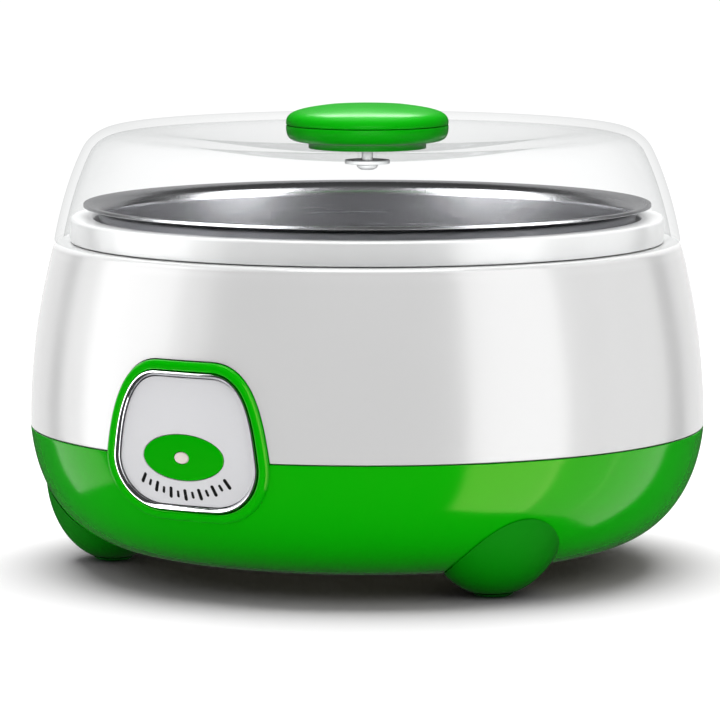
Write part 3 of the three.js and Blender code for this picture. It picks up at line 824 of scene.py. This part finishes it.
class YOGURT_MAKER_OT_feet(YogurtMakerPart):
    """Makes the three lobed feet and their rubber pads"""

    bl_idname = "yogurt_maker.feet"
    bl_label = "Feet"

    def make(self, sizes, finishes):
        green = finish_named("foot_green_plastic", moulded_plastic, tuple(finishes.foot_green),
                             0.4, 0.03, shine=0.1)
        # The pads' dark green is painted shade: it is the foot's green as it looks in the shade under
        # the base.
        rubber = finish_named("foot_rubber", patterned, "ShaderNodeTexNoise", 500,
                              ((0, 0.13, 0.002), (0, 0.17, 0.004)), 0.7, 0.1)
        for side, degrees in FOOT_ANGLES.items():
            turn = Matrix.Rotation(math.radians(degrees), 4, "Z")
            lobe = bmesh.new()
            bmesh.ops.create_uvsphere(lobe, u_segments=120, v_segments=80, radius=1)
            placed(lobe, turn @ Matrix.Translation((68.5, 0, 24))
                   @ Matrix.Diagonal((17.9, 20, 24, 1)))
            cut = bmesh.ops.bisect_plane(lobe, geom=lobe.verts[:] + lobe.edges[:] + lobe.faces[:],
                                         plane_co=(0, 0, 1.2), plane_no=(0, 0, 1),
                                         clear_inner=True)
            rim = [part for part in cut["geom_cut"] if isinstance(part, bmesh.types.BMEdge)]
            bmesh.ops.holes_fill(lobe, edges=rim, sides=0)
            bmesh.ops.bevel(lobe, geom=rim, offset=0.35, segments=3, profile=0.5,
                            affect="EDGES", material=-1)
            foot = as_object(lobe, "foot_lobe_" + side)
            carved(foot, bowl_cutter(GAP))
            centre = turn @ Vector((68.5, 0, 0))
            carved(foot, rod(4.5, 0, 2.4, centre.x, centre.y))
            dressed(foot, green, "base", "foot_plastic", "foot_" + side)
            pad = turned([(0, 0), (3.2, 0), (4.3, 0.2), (4.9, 0.55), (5.2, 0.9, 0.08),
                          (4.2, 0.9), (4.2, 2.1, 0.3), (0, 2.1)], SMALL_TURN)
            placed(pad, Matrix.Translation(centre))
            dressed(as_object(pad, "rubber_pad_" + side), rubber, "base", "foot_rubber",
                    "foot_pad_" + side)


class YOGURT_MAKER_OT_shell(YogurtMakerPart):
    """Makes the white shell with the notch that the arch stands in"""

    bl_idname = "yogurt_maker.shell"
    bl_label = "Shell"

    def make(self, sizes, finishes):
        outside = shell_line(40)
        inside = moved(outside, -2.2)[::-1]
        outside[0] = (outside[0][0], SEAM_Z + GAP / 2, 0.35)
        outside[-1] = (*outside[-1], sizes.shell_edge / MM)
        outside.insert(-1, (outside[-1][0] + 0.22, outside[-1][1] - 1.5))
        del outside[-3]
        ledge_z = 86.5
        inside = [point for point in inside if 40 < point[1] < ledge_z - 2.6]
        ring = [(86.8, outside[0][1])] + outside
        ring += [(76.5, ledge_z, 0.3), (76.5, ledge_z - 2.2, 0.3), (inside[0][0] - 1, ledge_z - 2.2)]
        ring += inside + [(85.6, 39.4), (84.9, 34.5), (86.8, 34.5)]
        shell = as_object(turned(ring, ring=True), "white_shell")
        notch = capped(skinned([at_depth(panel_outline(-GAP), -100),
                                at_depth(panel_outline(-GAP), -70)]))
        carved(shell, notch)
        dressed(shell, white_plastic(), "base", "white_plastic", "outer_shell")


class YOGURT_MAKER_OT_well(YogurtMakerPart):
    """Makes the white well whose collar lines the body's mouth"""

    bl_idname = "yogurt_maker.well"
    bl_label = "Well and Collar"

    def make(self, sizes, finishes):
        top_z = 93.1
        line = [(0, 24), (70, 24), *arc(70, 28.8, 4.8, -60, 0, 8), (74.8, 91.3), (77.5, 91.3),
                (77.5, 86.8), (79.3, 86.8, 0.2), (79.3, top_z, 0.8), (73, top_z, 1),
                *arc(69.5, 29.5, 3.5, 0, -90, 8), (0, 26)]
        well = as_object(turned(line), "white_well")
        for degrees in FOOT_ANGLES.values():
            angle = math.radians(degrees)
            x, y = 50 * math.cos(angle), 50 * math.sin(angle)
            carved(well, rod(4.5, 12.3, 24.8, x, y), "UNION")
            carved(well, rod(1.8, 10, 20, x, y))
        dressed(well, white_plastic(), "base", "white_plastic", "inner_well")


class YOGURT_MAKER_OT_panel(YogurtMakerPart):
    """Makes the panel's bright ring, its face plate and the printed scale"""

    bl_idname = "yogurt_maker.panel"
    bl_label = "Panel"

    def make(self, sizes, finishes):
        chrome = finish_named("bright_ring_metal", worked_metal, slot_colour("bright_metal"),
                              0.05, (1, 1, 1), 500, 0.05, stain=0.03)
        section = [(2.8, -2), (2.8, 0.7), (2.86, 0.84), (3, 0.9), (3.2, 0.88), (3.4, 0.72),
                   (3.86, 0.1), (3.97, -0.05), (4, -0.2), (4, -2)]
        ring = skinned([panel_loop(inset, proud) for inset, proud in section], ring=True)
        dressed(as_object(ring, "bright_ring"), chrome, "base", "bright_metal", "panel_bezel")
        silver = finish_named("satin_silver_face", satin_silver, tuple(finishes.silver))
        outer, inner = panel_outline(4.45), oval_outline(BUTTON_HALF, 0.32)
        loops = [panel_loop(4.3, -2), panel_loop(4.3, -0.52), panel_loop(4.34, -0.43)]
        loops += [laid(between(outer, inner, i / 14), -0.4) for i in range(15)]
        loops += [laid(oval_outline(BUTTON_HALF, 0.2), -0.43),
                  laid(oval_outline(BUTTON_HALF, 0.14), -0.52),
                  laid(oval_outline(BUTTON_HALF, 0.14), -2)]
        plate = skinned(loops, ring=True)
        dressed(as_object(plate, "silver_face"), silver, "base", "silver_face", "panel_face")
        ink = finish_named("printed_scale_ink", patterned, "ShaderNodeTexNoise", 900,
                           ((0.004, 0.004, 0.004), (0.012, 0.012, 0.012)), 0.45, 0.02)
        dressed(as_object(self.scale_marks(), "printed_scale"), ink, "base", "black_plastic")

    def scale_marks(self):
        """A plain scale under the button: round-ended strokes on an arc, in turn long and short."""
        marks = bmesh.new()
        arc_r = 25.4
        arc_top = 52
        count = 13
        for i in range(count):
            angle = math.radians(-32 + 64 * i / (count - 1))
            length = 3.1 if i % 2 == 0 else 1.9
            half_width = 0.5 if i % 2 == 0 else 0.4
            stroke = bmesh.ops.create_circle(marks, cap_ends=True, segments=16, radius=half_width)
            verts = stroke["verts"]
            for vert in verts:
                vert.co.y += (length - 2 * half_width) * (0.5 if vert.co.y > 0 else -0.5)
            face = verts[0].link_faces[0]
            made = bmesh.ops.extrude_face_region(marks, geom=[face])["geom"]
            raised = [part for part in made if isinstance(part, bmesh.types.BMVert)]
            bmesh.ops.translate(marks, verts=raised, vec=(0, 0, 0.04))
            for vert in verts + raised:
                across, up, proud = vert.co
                reach = arc_r - 1.5 - up
                x = math.sin(angle) * reach + math.cos(angle) * across
                z = arc_top - math.cos(angle) * reach + math.sin(angle) * across
                vert.co = on_body(x, z, -0.41 + proud)
        bmesh.ops.recalc_face_normals(marks, faces=marks.faces)
        return marks


class YOGURT_MAKER_OT_button(YogurtMakerPart):
    """Makes the oval push button and its light lens"""

    bl_idname = "yogurt_maker.button"
    bl_label = "Button"

    def make(self, sizes, finishes):
        flange_front, flange_back = -86.2, -85.5
        hole, oval = oval_outline(LENS_HALF, 0.24), oval_outline(BUTTON_HALF, -0.35)
        loops = [at_depth(oval_outline(LENS_HALF, 0.16), flange_back),
                 at_depth(oval_outline(BUTTON_HALF, 1.4), flange_back),
                 at_depth(oval_outline(BUTTON_HALF, 1.4), flange_front),
                 at_depth(oval_outline(BUTTON_HALF), flange_front),
                 laid(oval_outline(BUTTON_HALF), -0.55), laid(oval_outline(BUTTON_HALF, -0.04), -0.38),
                 laid(oval_outline(BUTTON_HALF, -0.15), -0.25)]
        for i in range(11):
            crown = -0.17 + 0.07 * (i / 10) ** 0.5
            loops.append(laid(between(oval, hole, i / 10), crown))
        loops.append(laid(oval_outline(LENS_HALF, 0.16), -0.18))
        button = as_object(skinned(loops, ring=True), "oval_button")
        dressed(button, green_plastic(), "button", "green_plastic", "power_button")
        section = [(0, -85), (0, -89.7), (-0.08, -89.84), (-0.3, -89.93), (-0.7, -90), (-1.2, -90.04)]
        lens = skinned([at_depth(oval_outline(LENS_HALF, grow), y) for grow, y in section])
        warm = finish_named("warm_lens_plastic", moulded_plastic, slot_colour("lens_plastic"),
                            0.18, 0.02, shine=0.3)
        dressed(as_object(capped(lens), "light_lens"), warm, "button", "lens_plastic",
                "indicator_lens")


class YOGURT_MAKER_OT_pot(YogurtMakerPart):
    """Makes the brushed steel pot with its flared lip"""

    bl_idname = "yogurt_maker.pot"
    bl_label = "Pot"

    def make(self, sizes, finishes):
        r, wall, floor_z, corner = 71.7, 0.9, 26.3, 10
        inner = r - wall
        flare = curve((inner, 92.6), (inner, 95.3), (72.4, 96.5), (75.1, 96.7), 12)
        under = [(max(a, r), z) for a, z in moved(flare, wall) if z < 95.75]
        line = [(0, floor_z), *arc(r - corner, floor_z + corner, corner, -90, 0, 12), *under,
                (75.8, 95.8, 0.2), (75.8, 96.7, 0.3), *flare[::-1],
                *arc(r - corner, floor_z + corner, corner - wall, 0, -90, 12),
                (0, floor_z + wall)]
        steel = finish_named("brushed_pot_steel", worked_metal, tuple(finishes.steel), 0.24,
                             (0.06, 0.06, 14), 260, 0.03, anisotropy=0.6)
        dressed(as_object(turned(line), "brushed_pot"), steel, "pot", "pot_steel", "steel_pot")


class YOGURT_MAKER_OT_lid(YogurtMakerPart):
    """Makes the clear domed lid"""

    bl_idname = "yogurt_maker.lid"
    bl_label = "Lid"

    def make(self, sizes, finishes):
        wall = sizes.lid_wall / MM
        dip_z = 110.6
        side = curve((83.6, 86.8), (82.2, 95), (79.4, 104.5), (75.98, 111.28), 16)
        shoulder = arc(66.8, 106.4, 10.4, 28, 90, 16)[1:]
        dip = curve((66.8, 116.8), (52, 116.8), (36, dip_z), (2.5, dip_z), 28)[1:]
        outside = side + shoulder + dip
        inside = moved(outside, -wall)[::-1]
        inside[0] = (2.5, dip_z - wall)
        inside[-1] = (inside[-1][0], 86.8, 0.5)
        outside[0] = (*outside[0], 0.5)
        lid = turned(outside + inside, ring=True)
        clear = finish_named("clear_lid_plastic", clear_plastic)
        dressed(as_object(lid, "clear_lid"), clear, "lid", "clear_plastic", "lid_dome")


class YOGURT_MAKER_OT_knob(YogurtMakerPart):
    """Makes the two halves of the knob, with its screw and washer under the lid"""

    bl_idname = "yogurt_maker.knob"
    bl_label = "Knob"

    def make(self, sizes, finishes):
        top_z = sizes.knob_top / MM
        split_z = 117.3
        neck_r, neck_z, shoulder_z = 15.7, 111.2, 113.05
        bore_r, bore_top_z = 1.9, 116.3
        washer_r, washer_z, washer_top_z = 6, 107, 108
        grip = curve((18.6, shoulder_z), (21, 113.2), (21.7, 114.6), (21.7, 116.8), 12)
        base = turned([(0, bore_top_z), (bore_r, bore_top_z), (bore_r, neck_z),
                       (neck_r, neck_z, 0.1), (neck_r, shoulder_z), *grip,
                       (21.65, split_z, 0.1), (21, split_z), (0, split_z)], KNOB_TURN)
        rim = curve((21.7, split_z + 0.5), (21.8, 120.6), (19.5, 121.5), (11, 122.6), 16)
        cap = turned([(0, split_z + 0.2), (21, split_z + 0.2), (21.6, split_z + 0.2, 0.1), *rim,
                      (5, top_z - 0.08), (0, top_z)], KNOB_TURN)
        dressed(as_object(base, "knob_lower"), knob_plastic(), "lid", "green_plastic",
                "knob_base")
        dressed(as_object(cap, "knob_upper"), knob_plastic(), "lid", "green_plastic",
                "knob_cap")
        washer = turned([(bore_r, washer_z, 0.1), (washer_r, washer_z, 0.2),
                         (washer_r, washer_top_z, 0.2), (bore_r, washer_top_z, 0.1)],
                        SMALL_TURN, ring=True)
        milky = finish_named("milky_fixing_plastic", moulded_plastic, (0.85, 0.86, 0.86), 0.3, 0.02,
                             shine=0.2)
        dressed(as_object(washer, "washer_under_lid"), milky, "lid", "clear_plastic",
                "knob_washer")
        screw = pan_screw("screw_under_lid", 0, 0, head_z=105.4, head_height=1.3, head_r=2.8,
                          shank_r=1.5, tip_z=115.8)
        dressed(screw, milky, "lid", "clear_plastic", "knob_screw")


def pan_screw(name, x, y, head_z, head_height, head_r, shank_r, tip_z):
    """A pan-head screw that points up, with a cross recess in its head."""
    under_z = head_z + head_height
    bm = turned([(0, head_z), (head_r * 0.6, head_z), (head_r, head_z + head_height * 0.5, 0.5),
                 (head_r, under_z, 0.15), (shank_r, under_z), (shank_r, tip_z - shank_r, 0.3),
                 (0, tip_z)], SMALL_TURN)
    screw = as_object(placed(bm, Matrix.Translation((x, y, 0))), name)
    reach, half = head_r * 0.6, head_r * 0.13
    depth_z = head_z + head_height * 0.55
    for size_x, size_y in ((reach, half), (half, reach)):
        recess = block((x - size_x, y - size_y, head_z - 1), (x + size_x, y + size_y, depth_z))
        carved(screw, recess)
    return screw


class YOGURT_MAKER_OT_fixings(YogurtMakerPart):
    """Makes the base screws and the cord gland"""

    bl_idname = "yogurt_maker.fixings"
    bl_label = "Screws and Gland"

    def make(self, sizes, finishes):
        for side, degrees in FOOT_ANGLES.items():
            angle = math.radians(degrees)
            screw = pan_screw("base_screw_turned_" + side, 50 * math.cos(angle),
                              50 * math.sin(angle), 6.6, 2.1, 3, 1.5, 19)
            dressed(screw, screw_steel(), "base", "screw_steel", "base_screw_" + side)
        black = finish_named("black_satin_plastic", moulded_plastic,
                             slot_colour("black_plastic"), 0.4, 0.15, shine=0.5)
        gland = turned([(2.7, 82.3), (5.5, 82.3), (5.5, 83.9), (4, 83.9), (4, 86.3), (6, 86.3),
                        (6, 90.6, 0.9), (4.4, 90.6, 0.3), (3.9, 90.1, 0.2), (2.7, 90.1, 0.3)],
                       SMALL_TURN, ring=True)
        placed(gland, Matrix.Translation((0, 0, 29.5)) @ Matrix.Rotation(math.radians(90), 4, "X")
               @ Matrix.Diagonal((1, 1, -1, 1)))
        bmesh.ops.recalc_face_normals(gland, faces=gland.faces)
        dressed(as_object(gland, "rear_gland"), black, "base", "black_plastic", "cord_gland")


INNER_WORKS = {
    "board_laminate": ("control_board",),
    "black_plastic": ("push_switch", "thermostat", "switch_plunger"),
    "lens_plastic": ("indicator_led",),
    "screw_steel": ("board_screw_left", "board_screw_right", "thermostat_strap",
                    "strap_screw_left", "strap_screw_right", "terminal_screw"),
    "heater_aluminium": ("heater_plate",),
    "heater_mica": ("heater_element",),
    "fuse_sleeve": ("thermal_fuse",),
    "terminal_plastic": ("terminal_block",),
    "lead_insulation": ("lead_block_to_fuse", "lead_fuse_to_thermostat",
                        "lead_thermostat_to_heater", "lead_heater_to_block",
                        "lead_block_to_board"),
}


class YOGURT_MAKER_OT_inner_works(YogurtMakerPart):
    """Gives the switch, the heater and the wiring inside the base their finishes"""

    bl_idname = "yogurt_maker.inner_works"
    bl_label = "Inner Works"

    def make(self, sizes, finishes):
        made = {
            "board_laminate": patterned("board_laminate", "ShaderNodeTexBrick", 160,
                                        ((0.01, 0.09, 0.02), (0.03, 0.2, 0.05)), 0.45, 0.2),
            "black_plastic": finish_named("black_satin_plastic", moulded_plastic,
                                          slot_colour("black_plastic"), 0.4, 0.15),
            "lens_plastic": bpy.data.materials["warm_lens_plastic"],
            "screw_steel": screw_steel(),
            "heater_aluminium": worked_metal("rolled_aluminium", slot_colour("heater_aluminium"),
                                             0.35, (0.1, 6, 1), 200, 0.4),
            "heater_mica": patterned("pressed_mica", "ShaderNodeTexVoronoi", 260,
                                     ((0.3, 0.22, 0.13), (0.55, 0.45, 0.32)), 0.7, 0.3),
            "fuse_sleeve": patterned("woven_sleeve", "ShaderNodeTexWave", 700,
                                     ((0.55, 0.52, 0.44), (0.82, 0.8, 0.72)), 0.8, 0.5),
            "terminal_plastic": moulded_plastic("terminal_nylon", slot_colour("terminal_plastic"),
                                                0.5, 0.15),
            "lead_insulation": moulded_plastic("lead_silicone", slot_colour("lead_insulation"),
                                               0.45, 0.1),
        }
        for slot, nodes in INNER_WORKS.items():
            for node in nodes:
                shown = frame["nodes"][node]
                for material_slot in shown.material_slots:
                    material_slot.material = made[slot]


# Groups of pieces that a lamp reaches.
WHITES = ("white_shell", "white_well")
PLATES = ("bright_ring", "silver_face", "light_lens")
KNOB = ("knob_lower", "knob_upper")
FIXINGS = ("screw_under_lid", "washer_under_lid")
FEET = ("foot_lobe_left", "foot_lobe_right", "foot_lobe_rear")
BODY = ("green_bowl", "oval_button", *WHITES, *PLATES)

# Lamps that only show as reflections: degrees round from the camera, distance, height, width and
# height in metres, brightness, and the pieces that mirror them.
MIRRORED_LAMPS = {
    "left_wide": (-90, 1, 0.1, 1.35, 2.2, 1.9, (*WHITES, *PLATES)),
    "left_core": (-88, 0.98, 0.1, 0.7, 2.2, 2.6, (*WHITES, "bright_ring")),
    "left_low": (-115, 1, 0.1, 0.56, 1.1, 1.2, ("green_bowl",)),
    "left_for_pot": (-61, 1, 0.1, 0.89, 2.2, 8, ("brushed_pot",)),
    "right_for_pot": (62, 1, 0.1, 0.65, 2.2, 8, ("brushed_pot",)),
    "right_core": (50, 0.98, 0.1, 0.62, 2.2, 4, BODY),
    "right_middle": (78, 1, 0.1, 0.5, 2.2, 1.4, BODY),
    "right_side": (105, 1, 0.1, 0.52, 2.2, 1.5, BODY),
    "overhead": (0, 0.02, 1.3, 0.7, 0.5, 10, WHITES),
    "knob_glow": (180, 0.9, 1.05, 0.7, 0.3, 9, KNOB),
    "card_behind": (180, 1.6, 0.2, 3.2, 2.6, 1, ("clear_lid", *WHITES)),
    "card_for_pot": (180, 1.6, 0.2, 3.2, 2.6, 0.5, ("brushed_pot",)),
}

# Lamps that only light the pieces, given in the same way. The ceiling names none and lights all.
LIGHTING_LAMPS = {
    "ceiling": (180, 0.4, 1.5, 1.8, 1.6, 4.4, ()),
    "front_fill": (0, 1.3, 0.8, 1.2, 0.8, 2.1, (*BODY, *FEET)),
    "low_fill": (0, 1.3, 0, 0.8, 0.8, 1.1, ("green_bowl", *FEET)),
    "feet_fill": (0, 1.3, 0.3, 0.8, 0.8, 1.3, FEET),
    "knob_fill": (0, 1.3, 0, 0.8, 0.8, 7, KNOB),
    "fixings_fill": (0, 1.3, 0, 0.8, 0.8, 20, FIXINGS),
    "face_fill": (40, 1.2, 0.5, 0.5, 0.5, 6, ("silver_face",)),
    "left_collar_fill": (-80, 1.2, 0.5, 0.8, 0.8, 3.2, ("white_well",)),
    "right_collar_fill": (75, 1.2, 0.5, 0.8, 0.8, 3.4, ("white_well",)),
}


def soft_box(name, mirrored, azimuth, distance, height, width, tall, brightness, pieces):
    """A rectangular studio lamp turned to the object. It reaches the pieces named, or all if none
    are."""
    lamp = bpy.data.lights.new(name, "AREA")
    lamp.shape = "RECTANGLE"
    lamp.size, lamp.size_y = width, tall
    lamp.energy = brightness * math.pi * width * tall
    angle = math.radians(CAMERA_AZIMUTH + azimuth)
    place = Vector((distance * math.sin(angle), -distance * math.cos(angle), height))
    light = bpy.data.objects.new(name, lamp)
    light.location = place
    light.rotation_euler = (Vector((0, 0, 0.06)) - place).to_track_quat("-Z", "Y").to_euler()
    light.visible_camera = False
    light.visible_diffuse = not mirrored
    light.visible_glossy = mirrored
    light.visible_transmission = mirrored
    bpy.context.scene.collection.objects.link(light)
    if pieces:
        reached = bpy.data.collections.new("pieces_reached_by_" + name)
        for piece in pieces:
            reached.objects.link(bpy.data.objects[piece])
        light.light_linking.receiver_collection = reached


class YOGURT_MAKER_OT_stage(YogurtMakerPart):
    """Sets up the pale floor, the studio lamps and the white surroundings"""

    bl_idname = "yogurt_maker.stage"
    bl_label = "Stage"

    def make(self, sizes, finishes):
        floor = bmesh.new()
        bmesh.ops.create_circle(floor, cap_ends=True, segments=96, radius=0.55)
        mesh = bpy.data.meshes.new("studio_floor")
        floor.to_mesh(mesh)
        floor.free()
        ground = bpy.data.objects.new("studio_floor", mesh)
        bpy.context.scene.collection.objects.link(ground)
        ground.data.materials.append(self.floor_finish())
        ground.visible_glossy = False
        ground.visible_shadow = False
        for name, settings in MIRRORED_LAMPS.items():
            soft_box(name, True, *settings)
        for name, settings in LIGHTING_LAMPS.items():
            soft_box(name, False, *settings)
        self.surroundings()
        bpy.context.scene.view_settings.view_transform = "Standard"

    def floor_finish(self):
        """Plain pale floor with a faint cloud in its gloss."""
        material, nodes, links = new_finish("studio_floor")
        place = nodes.new("ShaderNodeTexCoord")
        place.label = "Place on the floor"
        cloud = nodes.new("ShaderNodeTexNoise")
        cloud.label = "Faint cloud"
        cloud.inputs["Scale"].default_value = 4
        polish = nodes.new("ShaderNodeMapRange")
        polish.label = "Gloss of the floor"
        polish.inputs["To Min"].default_value = 0.3
        polish.inputs["To Max"].default_value = 0.34
        floor = nodes.new("ShaderNodeBsdfPrincipled")
        floor.label = "Pale floor"
        floor.inputs["Base Color"].default_value = (0.92, 0.92, 0.92, 1)
        floor.inputs["Specular IOR Level"].default_value = 0
        out = nodes.new("ShaderNodeOutputMaterial")
        out.label = "Surface"
        framed(nodes, "Gloss", (cloud, polish))
        laid_out(((place, (-800, 0)), (cloud, (-600, 0)), (polish, (-380, 0)), (floor, (-120, 0)),
                  (out, (200, 0))))
        links.new(place.outputs["Object"], cloud.inputs["Vector"])
        links.new(cloud.outputs["Fac"], polish.inputs["Value"])
        links.new(polish.outputs["Result"], floor.inputs["Roughness"])
        links.new(floor.outputs["BSDF"], out.inputs["Surface"])
        return material

    def surroundings(self):
        """White to look at, dark in reflections, and a soft light from above."""
        world = bpy.data.worlds.new("studio_surroundings")
        world.use_nodes = True
        nodes, links = world.node_tree.nodes, world.node_tree.links
        nodes.clear()
        place = nodes.new("ShaderNodeTexCoord")
        place.label = "Direction"
        split = nodes.new("ShaderNodeSeparateXYZ")
        split.label = "How high it points"
        sky = nodes.new("ShaderNodeMapRange")
        sky.label = "Brighter towards the top"
        sky.interpolation_type = "SMOOTHSTEP"
        sky.inputs["From Min"].default_value = 0.15
        sky.inputs["From Max"].default_value = 0.9
        sky.inputs["To Max"].default_value = 0.5
        ray = nodes.new("ShaderNodeLightPath")
        ray.label = "What the ray is for"
        mirrored = nodes.new("ShaderNodeMath")
        mirrored.label = "Seen in a reflection"
        mirrored.operation = "GREATER_THAN"
        mirrored.inputs[1].default_value = 0.5
        unlit = nodes.new("ShaderNodeMath")
        unlit.label = "Not light off a surface"
        unlit.operation = "LESS_THAN"
        unlit.inputs[1].default_value = 0.5
        both = nodes.new("ShaderNodeMath")
        both.label = "A plain reflection"
        both.operation = "MULTIPLY"
        dark = nodes.new("ShaderNodeMix")
        dark.label = "Light, or a dark reflection"
        dark.data_type = "FLOAT"
        dark.inputs["B"].default_value = 0.06
        level = nodes.new("ShaderNodeMix")
        level.label = "Brightness"
        level.data_type = "FLOAT"
        level.inputs["B"].default_value = 1.05
        white = nodes.new("ShaderNodeBackground")
        white.label = "White surroundings"
        white.inputs["Color"].default_value = (1, 1, 1, 1)
        out = nodes.new("ShaderNodeOutputWorld")
        out.label = "Surroundings"
        framed(nodes, "Light from above", (split, sky))
        framed(nodes, "Brightness by use", (ray, mirrored, unlit, both, dark, level))
        laid_out(((place, (-1300, 200)), (split, (-1100, 200)), (sky, (-880, 200)),
                  (ray, (-1300, -100)), (mirrored, (-1060, -160)), (unlit, (-1060, -340)),
                  (both, (-860, -240)), (dark, (-640, 0)), (level, (-420, 0)), (white, (-200, 0)),
                  (out, (40, 0))))
        links.new(place.outputs["Generated"], split.inputs["Vector"])
        links.new(split.outputs["Z"], sky.inputs["Value"])
        links.new(ray.outputs["Glossy Depth"], mirrored.inputs[0])
        links.new(ray.outputs["Diffuse Depth"], unlit.inputs[0])
        links.new(mirrored.outputs["Value"], both.inputs[0])
        links.new(unlit.outputs["Value"], both.inputs[1])
        links.new(both.outputs["Value"], dark.inputs["Factor"])
        links.new(sky.outputs["Result"], dark.inputs["A"])
        links.new(ray.outputs["Is Camera Ray"], level.inputs["Factor"])
        links.new(dark.outputs["Result"], level.inputs["A"])
        links.new(level.outputs["Result"], white.inputs["Strength"])
        links.new(white.outputs["Background"], out.inputs["Surface"])
        bpy.context.scene.world = world


PART_OPERATORS = (
    YOGURT_MAKER_OT_camera,
    YOGURT_MAKER_OT_bowl,
    YOGURT_MAKER_OT_feet,
    YOGURT_MAKER_OT_shell,
    YOGURT_MAKER_OT_well,
    YOGURT_MAKER_OT_panel,
    YOGURT_MAKER_OT_button,
    YOGURT_MAKER_OT_pot,
    YOGURT_MAKER_OT_lid,
    YOGURT_MAKER_OT_knob,
    YOGURT_MAKER_OT_fixings,
    YOGURT_MAKER_OT_inner_works,
    YOGURT_MAKER_OT_stage,
)


class YOGURT_MAKER_PT_parts(bpy.types.Panel):
    """Lists the yogurt maker's sizes, colours and parts"""

    bl_idname = "YOGURT_MAKER_PT_parts"
    bl_label = "Yogurt Maker"
    bl_space_type = "VIEW_3D"
    bl_region_type = "UI"
    bl_category = "Yogurt Maker"

    def draw(self, context):
        for settings in (context.scene.yogurt_maker_sizes, context.scene.yogurt_maker_finishes):
            column = self.layout.column(align=True)
            for name in settings.__annotations__:
                column.prop(settings, name)
        column = self.layout.column(align=True)
        for operator in PART_OPERATORS:
            column.operator(operator.bl_idname)


CLASSES = (YogurtMakerSizes, YogurtMakerFinishes, *PART_OPERATORS, YOGURT_MAKER_PT_parts)


def register():
    for cls in CLASSES:
        bpy.utils.register_class(cls)
    bpy.types.Scene.yogurt_maker_sizes = bpy.props.PointerProperty(type=YogurtMakerSizes)
    bpy.types.Scene.yogurt_maker_finishes = bpy.props.PointerProperty(type=YogurtMakerFinishes)


def unregister():
    del bpy.types.Scene.yogurt_maker_finishes
    del bpy.types.Scene.yogurt_maker_sizes
    for cls in reversed(CLASSES):
        bpy.utils.unregister_class(cls)


def main():
    register()
    bpy.ops.yogurt_maker.camera()
    bpy.ops.yogurt_maker.bowl()
    bpy.ops.yogurt_maker.feet()
    bpy.ops.yogurt_maker.shell()
    bpy.ops.yogurt_maker.well()
    bpy.ops.yogurt_maker.panel()
    bpy.ops.yogurt_maker.button()
    bpy.ops.yogurt_maker.pot()
    bpy.ops.yogurt_maker.lid()
    bpy.ops.yogurt_maker.knob()
    bpy.ops.yogurt_maker.fixings()
    bpy.ops.yogurt_maker.inner_works()
    bpy.ops.yogurt_maker.stage()


if __name__ == "__main__":
    main()
